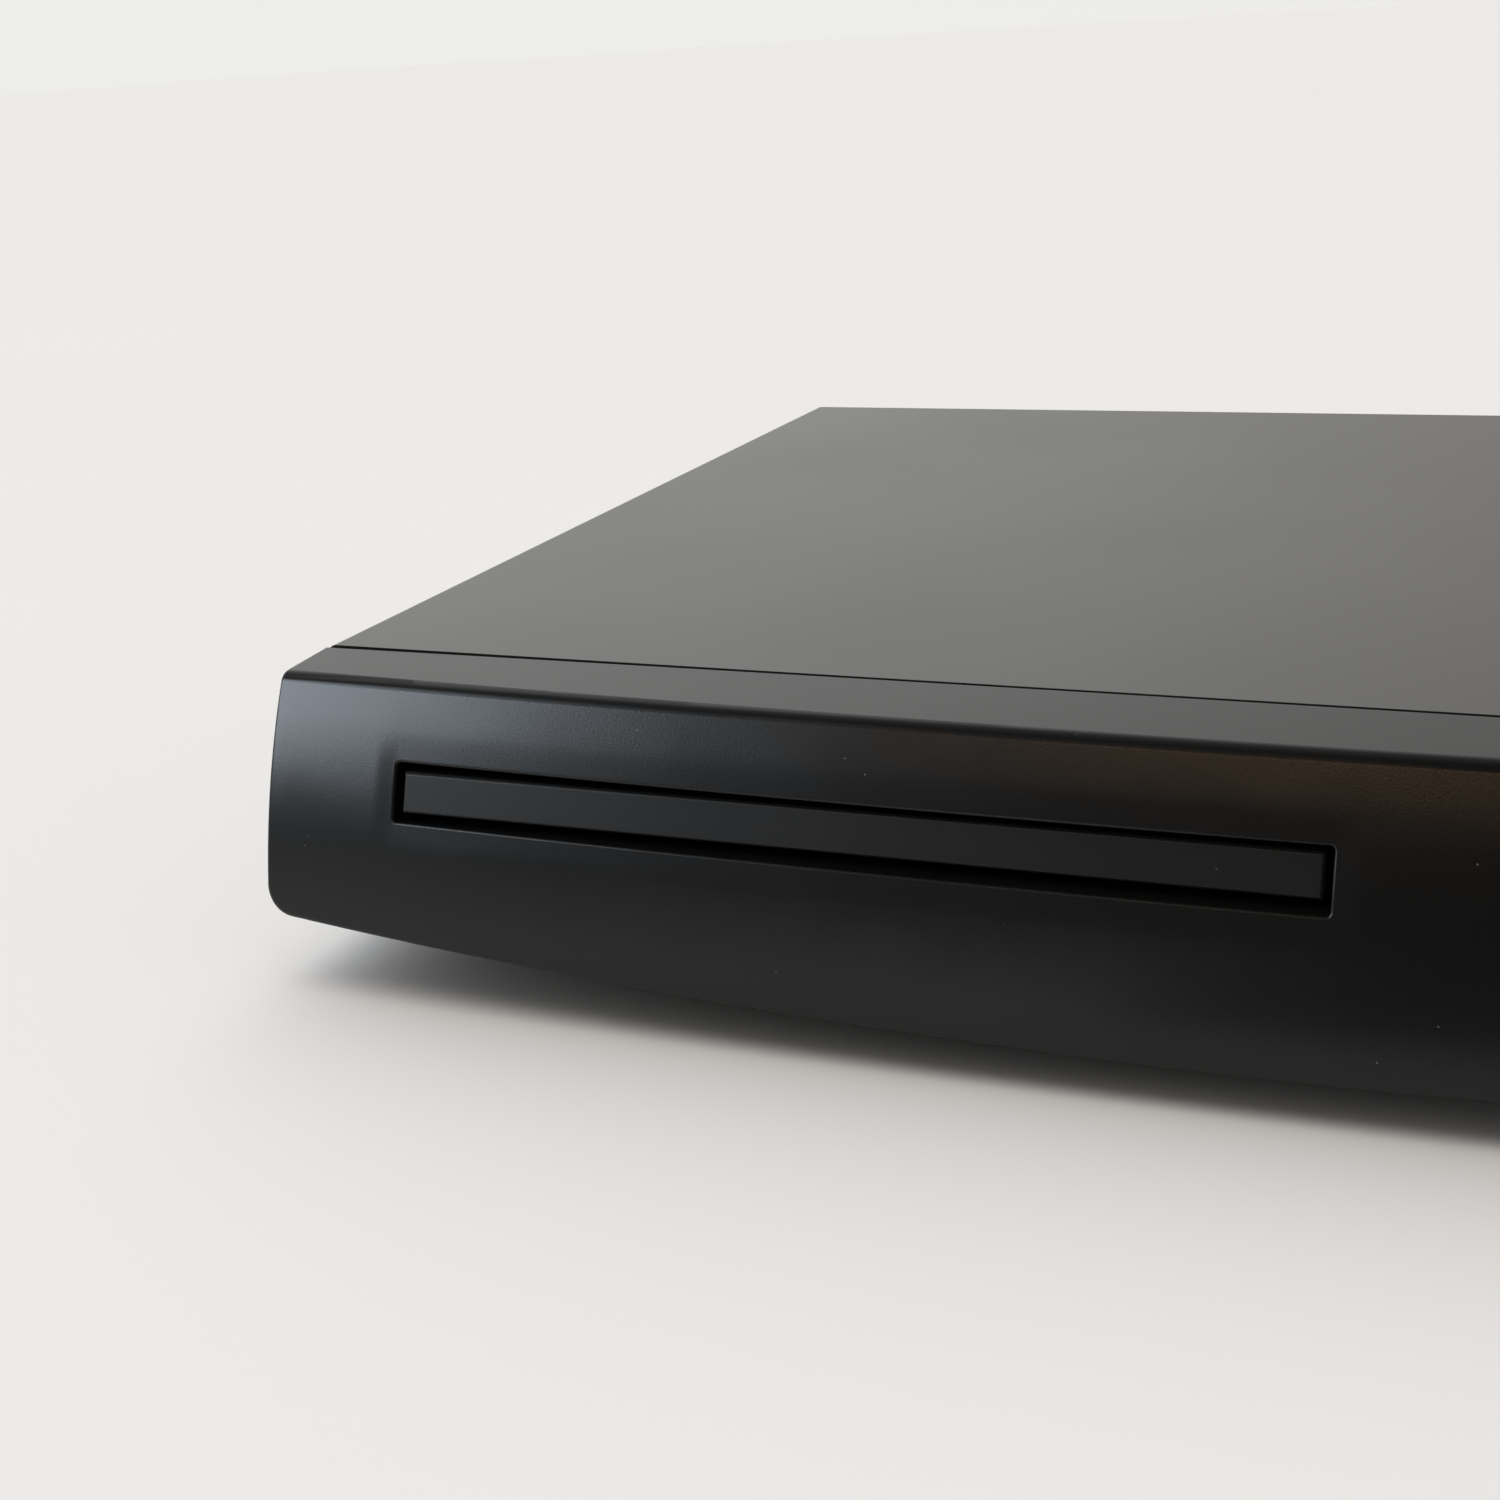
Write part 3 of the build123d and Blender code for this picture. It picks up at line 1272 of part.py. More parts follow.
ribbon_x = main_board_x[0] + 0.31 * main_board_width
ribbon_width = 12.0
ribbon_sheet = 0.4
ribbon_bend = 3.0
connector_top = board_top + 5.5
front_plug_z = floor_z + 12
main_plug_x = main_board_x[1] - 8
power_plug_x = power_board_x[0] + 5
wire_y = main_board_y[0] + 13
with BuildPart() as connectors:
    block(about(ribbon_x, 8), (main_board_y[0] + 1, main_board_y[0] + 5),
          (board_top, connector_top))
    block(about(ribbon_x, 8), (front_board_back, front_board_back + 4), about(front_plug_z, 2.5))
    block(about(main_plug_x, 2.5), about(wire_y, 6), (board_top, connector_top))
    block(about(main_board_x[0] + 0.058 * main_board_width, 2), about(main_board_y[0] + 50, 9),
          (board_top, board_top + 4))
    block(about(power_plug_x, 2.5), about(wire_y, 6), (board_top, connector_top))
save(connectors.part, "connectors")

with BuildPart() as ribbon_cable:
    mouth_y = front_board_back + 4
    run_z = floor_z + 1.0
    with BuildLine(Plane.YZ.offset(ribbon_x)) as route:
        FilletPolyline(
            (mouth_y, front_plug_z),
            (mouth_y + 8, front_plug_z),
            (mouth_y + 14, run_z + 0.8),
            (main_board_y[0] - 9, run_z),
            (main_board_y[0] - 6, connector_top + 6),
            (main_board_y[0] + 3, connector_top + 6),
            (main_board_y[0] + 3, connector_top),
            radius=ribbon_bend,
        )
    with BuildSketch(Plane(route.line @ 0, x_dir=(1, 0, 0), z_dir=route.line % 0)):
        Rectangle(ribbon_width, ribbon_sheet)
    sweep()
save(ribbon_cable.part, "ribbon_cable")

wire_radius = 0.7
with BuildPart() as power_wires:
    for i in range(4):
        y = wire_y - 3.6 + 2.4 * i
        with BuildLine(Plane.XZ.offset(-y)) as route:
            FilletPolyline(
                (main_plug_x, connector_top),
                (main_plug_x, connector_top + 5 + i),
                (power_plug_x, connector_top + 5 + i),
                (power_plug_x, connector_top),
                radius=2.4,
            )
        with BuildSketch(Plane(route.line @ 0, z_dir=route.line % 0)):
            Circle(wire_radius)
        sweep()
save(power_wires.part, "power_wires")

power_mid_x = sum(power_board_x) / 2
transformer_y = power_board_y[0] + 62
with BuildPart() as transformer:
    block(about(power_mid_x, 11), about(transformer_y, 9.5), (board_top, board_top + 3))
    block(about(power_mid_x, 7.5), about(transformer_y, 8.5), (board_top + 3, board_top + 15))
    block(about(power_mid_x, 11), about(transformer_y, 9.5), (board_top + 15, board_top + 17))
    for side in (-1, 1):
        leg = sorted((side * 7.6, side * 11))
        block((power_mid_x + leg[0], power_mid_x + leg[1]), about(transformer_y, 4),
              (board_top + 3, board_top + 15))
save(transformer.part, "transformer")

with BuildPart() as capacitors:
    for x, y, radius, height in (
        (power_mid_x - 1, power_board_y[0] + 96, 8, 20),
        (power_board_x[0] + 9, power_board_y[0] + 36, 4, 12),
        (power_board_x[0] + 20, power_board_y[0] + 36, 4, 12),
        (power_board_x[0] + 31, power_board_y[0] + 36, 4, 12),
        (power_board_x[0] + 14, power_board_y[0] + 22, 5, 14),
        (main_board_x[0] + 12, main_board_y[0] + 78, 2.5, 6),
        (main_board_x[0] + 20, main_board_y[0] + 78, 2.5, 6),
        (main_board_x[1] - 6, main_board_y[0] + 48, 2.5, 6),
        (main_board_x[1] - 6, main_board_y[0] + 56, 2.5, 6),
    ):
        post(x, y, radius, (board_top, board_top + height))
    rings = capacitors.edges().filter_by(GeomType.CIRCLE)
    tops = rings.filter_by(lambda e: e.center().Z > board_top + 1)
    chamfer(tops, 0.5)
save(capacitors.part, "capacitors")

sink_y = power_board_y[0] + 78
with BuildPart() as heat_sink:
    block(about(power_mid_x, 15), about(sink_y, 1), (board_top, board_top + 20))
    for i in range(6):
        block(about(power_mid_x - 12.5 + 5 * i, 0.6), (sink_y, sink_y + 6),
              (board_top + 3, board_top + 20))
save(heat_sink.part, "heat_sink")

fuse_x = power_board_x[0] + 8
fuse_y = power_board_y[1] - 40
with BuildPart() as mains_parts:
    for end in (-9, 9):
        block(about(fuse_x, 3), about(fuse_y + end, 2), (board_top, board_top + 4))
    peg(fuse_x, board_top + 6.4, 2.5, about(fuse_y, 11))
    block(about(power_board_x[1] - 9, 5), about(fuse_y, 8.5), (board_top, board_top + 14))
save(mains_parts.part, "mains_parts")

with BuildPart() as mains_inlet:
    block(about(inlet_x, inlet_width / 2), (panel_back - inlet_depth - 2, panel_back + 1.5),
          about(inlet_z, inlet_height / 2))
    block(about(inlet_x, inlet_width / 2 + 2), (panel_back, panel_back + 1.5),
          about(inlet_z, inlet_height / 2 + 1))
    with BuildSketch(facing(panel_back + 2)):
        with Locations((inlet_x, inlet_z)):
            SlotOverall(inlet_width - 2 * inlet_wall, inlet_height - 2 * inlet_wall)
    extrude(amount=inlet_depth, mode=Mode.SUBTRACT)
save(mains_inlet.part, "mains_inlet")

with BuildPart() as inlet_prongs:
    for side in (-1, 1):
        peg(inlet_x + side * prong_spacing / 2, inlet_z, prong_radius,
            (panel_back - inlet_depth + 2, panel_back - 1.5))
        with Locations((inlet_x + side * prong_spacing / 2, panel_back - 1.5, inlet_z)):
            Sphere(prong_radius)
save(inlet_prongs.part, "inlet_prongs")

jack_block_x = (jack_xs[0] - jack_pitch / 2, jack_xs[-1] + jack_pitch / 2)
jack_block_z = (board_top, jack_z + jack_pitch / 2)
insert_back = panel_face - 3
shell_foot = panel_back + jack_ring_thickness
shell_tip = rear_y + jack_reach
with BuildPart() as jack_block:
    block(jack_block_x, (panel_face - 14, panel_face), jack_block_z)
    for x in jack_xs:
        peg(x, jack_z, insert_radius, (insert_back, panel_face), Mode.SUBTRACT)
save(jack_block.part, "jack_block")

with BuildPart() as jack_shells:
    for x in jack_xs:
        turned(Plane((x, 0, jack_z), z_dir=(0, 1, 0)), [
            (insert_radius, shell_foot), (jack_shell_radius, shell_foot),
            (jack_shell_radius, shell_tip), (insert_radius, shell_tip),
        ])
save(jack_shells.part, "jack_shells")

for name, x in zip(("yellow", "white", "red"), jack_xs):
    with BuildPart() as jack_insert:
        turned(Plane((x, 0, jack_z), z_dir=(0, 1, 0)), [
            (jack_bore_radius, insert_back), (insert_radius, insert_back), (insert_radius, panel_back),
            (jack_ring_radius, panel_back), (jack_ring_radius, shell_foot - 0.3),
            (jack_ring_radius - 0.3, shell_foot), (insert_radius, shell_foot),
            (insert_radius, shell_tip - 1), (jack_bore_radius, shell_tip - 1),
        ])
    save(jack_insert.part, f"jack_{name}")

# Screws


def screw(place, length):
    """A pan-head screw whose head rests at the place, its shank pointing down."""
    turned(place, [
        (0, -length), (screw_radius - 0.4, -length), (screw_radius, -length + 0.5), (screw_radius, 0),
        (screw_head_radius, 0), (screw_head_radius, 0.5 * screw_head),
        (screw_head_radius - 0.8, screw_head), (0, screw_head),
    ])


def toward(origin, direction):
    """A plane at a place, its up direction pointing out of the screw's head."""
    return Plane(origin, z_dir=direction)


with BuildPart() as cover_screws:
    for x in (-0.8 * half_width, 0, 0.8 * half_width):
        screw(toward((x, rear_y, cabinet_height - 0.5 * cover_lip), (0, 1, 0)), 5)
    for side in (-1, 1):
        place = (side * half_width, seam_y + 0.5 * cover_depth, foot_height + 0.5 * flange_height)
        screw(toward(place, (side, 0, 0)), 5)
save(cover_screws.part, "cover_screws")

with BuildPart() as inside_screws:
    for x in boss_xs:
        for y in loader_boss_ys:
            screw(toward((x, y, floor_z + loader_boss_height), (0, 0, 1)), loader_boss_height - 0.2)
        for y in (bridge_boss_y - 10, bridge_boss_y + 10):
            screw(toward((x, y, bridge_z[1]), (0, 0, 1)), 7)
    for x, y in board_holes:
        screw(toward((x, y, board_top), (0, 0, 1)), 5)
    for x in front_post_xs:
        screw(toward((x, front_board_back, front_post_z), (0, 1, 0)), 5)
    for x, y in feet_xy:
        screw(toward((x, y, floor_z), (0, 0, 1)), 4)
    for x in tab_xs:
        screw(toward((x, seam_y + tab_reach / 2 + 1, foot_height), (0, 0, -1)), 2.6)
save(inside_screws.part, "inside_screws")
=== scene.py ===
import json
from math import cos, radians, sin
from random import Random

import bmesh
import bpy
from mathutils import Matrix, Vector
from mathutils.bvhtree import BVHTree


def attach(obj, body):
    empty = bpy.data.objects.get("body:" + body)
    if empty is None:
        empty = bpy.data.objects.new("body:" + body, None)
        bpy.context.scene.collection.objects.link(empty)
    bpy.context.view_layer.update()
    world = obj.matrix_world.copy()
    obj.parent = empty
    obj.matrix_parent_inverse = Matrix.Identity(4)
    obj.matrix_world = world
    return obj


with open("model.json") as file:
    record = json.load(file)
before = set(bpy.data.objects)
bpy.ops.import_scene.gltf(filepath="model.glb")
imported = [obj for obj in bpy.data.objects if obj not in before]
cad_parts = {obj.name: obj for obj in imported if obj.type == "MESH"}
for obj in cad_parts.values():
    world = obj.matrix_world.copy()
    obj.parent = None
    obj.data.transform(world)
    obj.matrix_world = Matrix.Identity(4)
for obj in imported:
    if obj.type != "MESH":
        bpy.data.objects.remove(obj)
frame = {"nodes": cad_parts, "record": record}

MM = 0.001
UP = Vector((0, 0, 1))
RIGHT = Vector((1, 0, 0))
FRONT = Vector((0, -1, 0))
REAR = Vector((0, 1, 0))

# The middle of the tray opening, in millimetres.
OPENING_X = -45.7
OPENING_Z = 30.55
BUTTONS = ("button_open_close", "button_play_pause", "button_stop", "button_power")

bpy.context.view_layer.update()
nodes = frame["nodes"]
scene = bpy.context.scene
materials = {}


# Materials


def surface(name, colour, roughness, **sockets):
    """A new material, kept by its name, whose shader's own sockets take the uniform values."""
    made = bpy.data.materials.new(name)
    materials[name] = made
    made.use_nodes = True
    shader = made.node_tree.nodes["Principled BSDF"]
    shader.inputs["Base Color"].default_value = (*colour, 1)
    shader.inputs["Roughness"].default_value = roughness
    for socket, value in sockets.items():
        shader.inputs[socket.replace("_", " ")].default_value = value
    return made


def shade(colour, share):
    """A colour made darker or lighter."""
    return tuple(share * c for c in colour)


def feed(made, socket, value):
    """Links a node's output to a socket, or sets the socket to a number or colour."""
    if isinstance(value, bpy.types.NodeSocket):
        made.node_tree.links.new(value, socket)
    else:
        socket.default_value = value


def add_node(made, kind, **inputs):
    """One more node in a material or in the world, with what its inputs take."""
    node = made.node_tree.nodes.new("ShaderNode" + kind)
    for key, value in inputs.items():
        feed(made, node.inputs[key.replace("_", " ")], value)
    return node


def place_of(made):
    """The surface point in metres, in the node's own frame."""
    return add_node(made, "TexCoord").outputs["Object"]


def noise(made, size, detail=3.0):
    """Soft noise whose lumps are about this many millimetres across."""
    node = add_node(made, "TexNoise", Vector=place_of(made), Scale=1 / (size * MM),
                    Detail=detail, Roughness=0.55)
    return node.outputs["Fac"]


def ramp(made, value, low, high, start=0.0, end=1.0):
    """Carries a value from one range to another, smoothly and clamped."""
    node = add_node(made, "MapRange", Value=value, From_Min=low, From_Max=high,
                    To_Min=start, To_Max=end)
    node.interpolation_type = "SMOOTHSTEP"
    return node.outputs["Result"]


def tint(made, amount, low, high):
    """A colour between two, by amount. Each is a colour or a node's output."""
    node = add_node(made, "Mix")
    node.data_type = "RGBA"
    feed(made, node.inputs["Factor"], amount)
    for key, colour in (("A", low), ("B", high)):
        feed(made, node.inputs[key], (*colour, 1) if isinstance(colour, tuple) else colour)
    return node.outputs["Result"]


def shader_input(made, socket):
    """A socket of the material's shader."""
    return made.node_tree.nodes["Principled BSDF"].inputs[socket]


def connect(made, value, socket):
    """Links a value to a socket of the material's shader."""
    made.node_tree.links.new(value, shader_input(made, socket))


def calculate(made, operation, first, second=0.0):
    """One step of arithmetic on values."""
    node = add_node(made, "Math")
    node.operation = operation
    feed(made, node.inputs[0], first)
    feed(made, node.inputs[1], second)
    return node.outputs["Value"]


def clouded_colour(made, size, low, high):
    """A base colour that drifts between two over this many millimetres."""
    connect(made, tint(made, noise(made, size, 2.0), low, high), "Base Color")


def clouded_gloss(made, size, detail, low, high):
    """A roughness that drifts between two over this many millimetres."""
    connect(made, ramp(made, noise(made, size, detail), 0.3, 0.7, low, high), "Roughness")


def near(made, axis, middle, full, none):
    """1 within one distance of a plane across an axis, easing to 0 at another, in millimetres."""
    split = add_node(made, "SeparateXYZ", Vector=place_of(made))
    offset = calculate(made, "SUBTRACT", split.outputs[axis], middle * MM)
    return ramp(made, calculate(made, "ABSOLUTE", offset), full * MM, none * MM, 1.0, 0.0)


def bump(made, height, distance, edge=0.0):
    """Bends the shading normal by a height, and rounds sharp edges by a radius, in millimetres."""
    node = add_node(made, "Bump", Height=height, Distance=distance * MM)
    if edge:
        rounded = add_node(made, "Bevel", Radius=edge * MM)
        rounded.samples = 6
        made.node_tree.links.new(rounded.outputs["Normal"], node.inputs["Normal"])
    connect(made, node.outputs["Normal"], "Normal")


def moulded(name, colour, roughness, grain=0.25, depth=0.02, edge=0.0, **sockets):
    """Moulded plastic: fine spark-eroded grain and slightly uneven gloss."""
    made = surface(name, colour, roughness, **sockets)
    clouded_colour(made, 30, shade(colour, 0.93), shade(colour, 1.07))
    clouded_gloss(made, 45, 1.0, roughness - 0.01, roughness + 0.01)
    bump(made, noise(made, grain, 2.0), depth, edge)
    return made


def dusty(name, colour, roughness, edge, specular):
    """The front's black moulding, with a few pale specks of dust."""
    made = moulded(name, colour, roughness, grain=0.3, depth=0.01, edge=edge,
                   Specular_IOR_Level=specular)
    spacing = 4
    dust = (0.12, 0.12, 0.12)
    cells = add_node(made, "TexVoronoi", Vector=place_of(made), Scale=1 / (spacing * MM))
    speck = ramp(made, cells.outputs["Distance"], 0.02, 0.045, 1.0, 0.0)
    patchy = ramp(made, noise(made, 7, 1.0), 0.45, 0.53)
    clean = shader_input(made, "Base Color").links[0].from_socket
    connect(made, tint(made, calculate(made, "MULTIPLY", speck, patchy), clean, dust), "Base Color")


def sink_beside_opening(made):
    """The moulding's slight sink beside the ends of the tray opening."""
    across = near(made, "X", OPENING_X, 66.6, 70.8)
    upwards = near(made, "Z", OPENING_Z, 3.0, 8.5)
    depth = calculate(made, "MULTIPLY", across, upwards)
    sunk = add_node(made, "Bump", Height=depth, Distance=0.15 * MM)
    sunk.invert = True
    grain = shader_input(made, "Normal").links[0].from_node
    rounded = grain.inputs["Normal"].links[0].from_socket
    made.node_tree.links.new(rounded, sunk.inputs["Normal"])
    made.node_tree.links.new(sunk.outputs["Normal"], grain.inputs["Normal"])


def painted_steel(name, colour, roughness):
    """Satin paint on sheet steel: a fine orange peel and slow changes of gloss."""
    made = surface(name, colour, roughness, IOR=1.5)
    clouded_colour(made, 60, shade(colour, 0.95), shade(colour, 1.05))
    clouded_gloss(made, 70, 1.0, roughness - 0.01, roughness + 0.01)
    bump(made, noise(made, 0.7, 2.0), 0.012)


def bare_metal(name, colour, roughness):
    """Bare or plated metal with faint cloudy staining."""
    made = surface(name, colour, roughness, Metallic=1.0)
    stain = ramp(made, noise(made, 9), 0.25, 0.75)
    connect(made, tint(made, stain, shade(colour, 0.86), colour), "Base Color")
    clouded_gloss(made, 4, 3.0, roughness - 0.05, roughness + 0.08)
    bump(made, noise(made, 0.8, 2.0), 0.006)


def board(name, mask, copper):
    """A circuit board: solder mask with the raised copper tracks showing through."""
    made = surface(name, mask, 0.35, Coat_Weight=0.3)
    line = ramp(made, noise(made, 3.5, 0.0), 0.47, 0.5)
    connect(made, tint(made, line, mask, copper), "Base Color")
    bump(made, line, 0.03)


painted_steel("black_steel", (0.031, 0.031, 0.030), 0.34)
dusty("panel_plastic", (0.005, 0.005, 0.0052), 0.29, edge=0.3, specular=0.37)
dusty("door_plastic", (0.009, 0.009, 0.0094), 0.37, edge=0.35, specular=0.36)
moulded("button_plastic", (0.025, 0.025, 0.026), 0.4)
moulded("black_plastic", (0.02, 0.02, 0.021), 0.45)
moulded("tray_plastic", (0.03, 0.03, 0.032), 0.5, grain=0.4, depth=0.03)
moulded("dark_window", (0.02, 0.004, 0.006), 0.12, depth=0.002)
moulded("lamp_lens", (0.45, 0.03, 0.02), 0.15, depth=0.002, Transmission_Weight=0.4)
bare_metal("zinc_steel", (0.55, 0.56, 0.56), 0.38)
bare_metal("bright_metal", (0.72, 0.71, 0.68), 0.22)
bare_metal("dark_screw", (0.06, 0.06, 0.062), 0.35)
bare_metal("aluminium", (0.62, 0.63, 0.65), 0.42)
bare_metal("brass", (0.72, 0.52, 0.2), 0.25)
moulded("rubber", (0.018, 0.018, 0.018), 0.75, grain=0.5, depth=0.03)
board("green_board", (0.012, 0.10, 0.035), (0.02, 0.16, 0.055))
board("tan_board", (0.42, 0.27, 0.11), (0.46, 0.31, 0.14))
moulded("chip_plastic", (0.022, 0.022, 0.024), 0.5)
moulded("white_plastic", (0.78, 0.76, 0.7), 0.42, Subsurface_Weight=0.08)
moulded("red_plastic", (0.55, 0.02, 0.015), 0.3)
moulded("yellow_plastic", (0.8, 0.5, 0.03), 0.3)
moulded("lens_glass", (0.35, 0.5, 0.8), 0.05, depth=0.001, Transmission_Weight=0.8,
        Coat_Weight=1.0)
sink_beside_opening(materials["panel_plastic"])

for part in frame["record"]["subparts"]:
    mesh = nodes[part["node"]].data
    mesh.materials.clear()
    mesh.materials.append(materials[part["material_slot"]])


def even_shading(name):
    """Shades a node's curved faces by the area of what meets at each point, so that the thin
    slivers between its fillets leave no smears."""
    weighted = nodes[name].modifiers.new("even_shading", "WEIGHTED_NORMAL")
    weighted.mode = "FACE_AREA"
    weighted.weight = 50
    weighted.keep_sharp = False


for name in ("front_panel", *BUTTONS):
    even_shading(name)


# Details on the solids

# How far print stands out of a surface and reaches into it, in millimetres.
INK = 0.03
ROOT = 0.02
# The main parts' measures that the details sit on, in millimetres.
BOARD_TOP = 16.9
PANEL_SEAM_Y = -93.102
COVER_BACK_Y = 111.898
REAR_FACE_Y = 111.1
SIDE_X = 135.0
FLANGE_UNDERSIDE_Z = 9.5
SCREW_HEAD = 1.6


def add_piece(name, shape, slot, body="cabinet"):
    """A detail with a slot's finish, that rides on a body."""
    mesh = bpy.data.meshes.new(name)
    shape.to_mesh(mesh)
    shape.free()
    mesh.materials.append(materials[slot])
    piece = bpy.data.objects.new(name, mesh)
    scene.collection.objects.link(piece)
    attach(piece, body)


def close_between(shape, low, high):
    """Closes the form between two like rings of corners, with a face at each end."""
    shape.faces.new(list(reversed(low)))
    shape.faces.new(high)
    for i in range(len(low)):
        j = (i + 1) % len(low)
        shape.faces.new((low[i], low[j], high[j], high[i]))


def print_outline(shape, feet, outward):
    """Ink over points that lie on a surface, anticlockwise seen from outside."""
    low = [shape.verts.new(foot - outward * ROOT * MM) for foot in feet]
    high = [shape.verts.new(foot + outward * INK * MM) for foot in feet]
    close_between(shape, low, high)


def add_box(shape, low, high):
    """A closed box between two corners, in millimetres."""
    x0, y0, z0 = (MM * c for c in low)
    x1, y1, z1 = (MM * c for c in high)
    feet = [Vector(p) for p in ((x0, y0, z0), (x1, y0, z0), (x1, y1, z0), (x0, y1, z0))]
    bottom = [shape.verts.new(p) for p in feet]
    top = [shape.verts.new(p + UP * (z1 - z0)) for p in feet]
    close_between(shape, bottom, top)


def on_plane(centre, across, up):
    """Carries (u, v) in millimetres to a point of a plane."""
    middle = Vector(centre) * MM
    return lambda u, v: middle + across * u * MM + up * v * MM


def on_front(name, x, z):
    """Carries (u, v) in millimetres to the front surface of a node."""
    mesh = nodes[name].data
    tree = BVHTree.FromPolygons([v.co for v in mesh.vertices], [p.vertices for p in mesh.polygons])
    well_ahead = -0.2

    def place(u, v):
        start = Vector(((x + u) * MM, well_ahead, (z + v) * MM))
        return tree.ray_cast(start, REAR)[0]

    return place


def rectangle(u0, v0, u1, v1):
    """The outline of a rectangle between two corners."""
    return [(u0, v0), (u1, v0), (u1, v1), (u0, v1)]


def ring_arc(inner, outer, start, end):
    """The outline of a ring's part between two angles in degrees."""
    steps = 20
    angles = [radians(start + (end - start) * i / steps) for i in range(steps + 1)]
    out = [(outer * cos(a), outer * sin(a)) for a in angles]
    back = [(inner * cos(a), inner * sin(a)) for a in reversed(angles)]
    return out + back


def print_marks():
    """The usual symbols on the four buttons, in pale ink."""
    eject = [[(-1.4, -0.2), (1.4, -0.2), (0.0, 1.2)], rectangle(-1.4, -1.1, 1.4, -0.6)]
    play_pause = [[(-1.9, -1.05), (-0.1, 0.0), (-1.9, 1.05)], rectangle(0.5, -1.05, 1.0, 1.05),
                  rectangle(1.5, -1.05, 2.0, 1.05)]
    stop = [rectangle(-1.0, -1.0, 1.0, 1.0)]
    power = [ring_arc(1.5, 1.85, 125, 415), rectangle(-0.18, 0.5, 0.18, 2.1)]
    power_z = 30.3
    marks = (
        (77.0, OPENING_Z, "open_close_button", eject),
        (90.0, OPENING_Z, "play_pause_button", play_pause),
        (103.0, OPENING_Z, "stop_button", stop),
        (119.0, power_z, "power_button", power),
    )
    for name, (x, z, body, outlines) in zip(BUTTONS, marks):
        shape = bmesh.new()
        place = on_front(name, x, z)
        for outline in outlines:
            print_outline(shape, [place(u, v) for u, v in outline], FRONT)
        add_piece(name + "_mark", shape, "white_plastic", body)


def cross_outline(reach, half_width):
    """The outline of a cross recess, for its painted shade: four arms that narrow towards their ends.
    """
    points = []
    for quarter in range(4):
        turn = Matrix.Rotation(radians(90 * quarter), 2)
        for u, v in ((half_width, half_width), (0.6 * half_width, reach), (-0.6 * half_width, reach)):
            points.append(tuple(turn @ Vector((u, v))))
    return points


def paint_screw_recess_shade():
    """Painted shade for the screws' cross recesses that show, as flat dark crosses: at the back, at
    both sides and underneath.
    """
    cross = cross_outline(1.5, 0.38)
    shape = bmesh.new()
    rear_z = 42.5
    side_y = PANEL_SEAM_Y + 102.5
    side_z = 16.5
    under_y = PANEL_SEAM_Y + 5.5
    places = [((x, COVER_BACK_Y + SCREW_HEAD, rear_z), -RIGHT, UP, REAR) for x in (-108, 0, 108)]
    for side in (-1, 1):
        outward = side * RIGHT
        centre = (side * (SIDE_X + SCREW_HEAD), side_y, side_z)
        places.append((centre, UP.cross(outward), UP, outward))
    for x in (-123, 49.95, 123):
        places.append(((x, under_y, FLANGE_UNDERSIDE_Z - SCREW_HEAD), RIGHT, FRONT, -UP))
    for centre, across, up, outward in places:
        place = on_plane(centre, across, up)
        print_outline(shape, [place(u, v) for u, v in cross], outward)
    # Each cross is a flat black mark standing on the head: painted shade in place of a cut recess.
    add_piece("screw_recess_painted_shade", shape, "black_plastic")


def legend(name, words, x, z):
    """Plain generic words printed on the rear panel."""
    letter_height = 2.4
    curve = bpy.data.curves.new(name, "FONT")
    curve.body = words
    curve.size = letter_height * MM
    curve.align_x = "CENTER"
    curve.align_y = "CENTER"
    curve.extrude = 0.5 * INK * MM
    curve.resolution_u = 4
    drawn = bpy.data.objects.new(name, curve)
    scene.collection.objects.link(drawn)
    bpy.context.view_layer.update()
    graph = bpy.context.evaluated_depsgraph_get()
    mesh = bpy.data.meshes.new_from_object(drawn.evaluated_get(graph))
    bpy.data.objects.remove(drawn)
    turn = Matrix((-RIGHT, UP, REAR)).transposed().to_4x4()
    mesh.transform(Matrix.Translation((x * MM, (REAR_FACE_Y + 0.5 * INK) * MM, z * MM)) @ turn)
    shape = bmesh.new()
    shape.from_mesh(mesh)
    bpy.data.meshes.remove(mesh)
    bmesh.ops.remove_doubles(shape, verts=shape.verts, dist=1e-6)
    add_piece(name, shape, "black_plastic")


def label_sockets():
    """What each socket of the rear panel is for."""
    above_jacks = 36.6
    legend("legend_video", "VIDEO", 44, above_jacks)
    legend("legend_left", "L", 58, above_jacks)
    legend("legend_right", "R", 72, above_jacks)
    legend("legend_audio", "AUDIO OUT", 65, 21.2)
    legend("legend_mains", "AC IN", 109.2, 32.2)


def solid_boxes(name):
    """The box of each separate solid of a node, in millimetres, found by joining up its faces."""
    mesh = nodes[name].data
    microns_per_metre = 1e6
    microns_per_mm = 1000
    owner = {}

    def root(key):
        while owner.setdefault(key, key) != key:
            key = owner[key]
        return key

    keys = [tuple(round(c * microns_per_metre) for c in vertex.co) for vertex in mesh.vertices]
    for polygon in mesh.polygons:
        first = root(keys[polygon.vertices[0]])
        for vertex in polygon.vertices[1:]:
            owner[root(keys[vertex])] = first
    groups = {}
    for key in set(keys):
        groups.setdefault(root(key), []).append(key)
    return [([min(k[axis] for k in group) / microns_per_mm for axis in range(3)],
             [max(k[axis] for k in group) / microns_per_mm for axis in range(3)])
            for group in sorted(groups.values())]


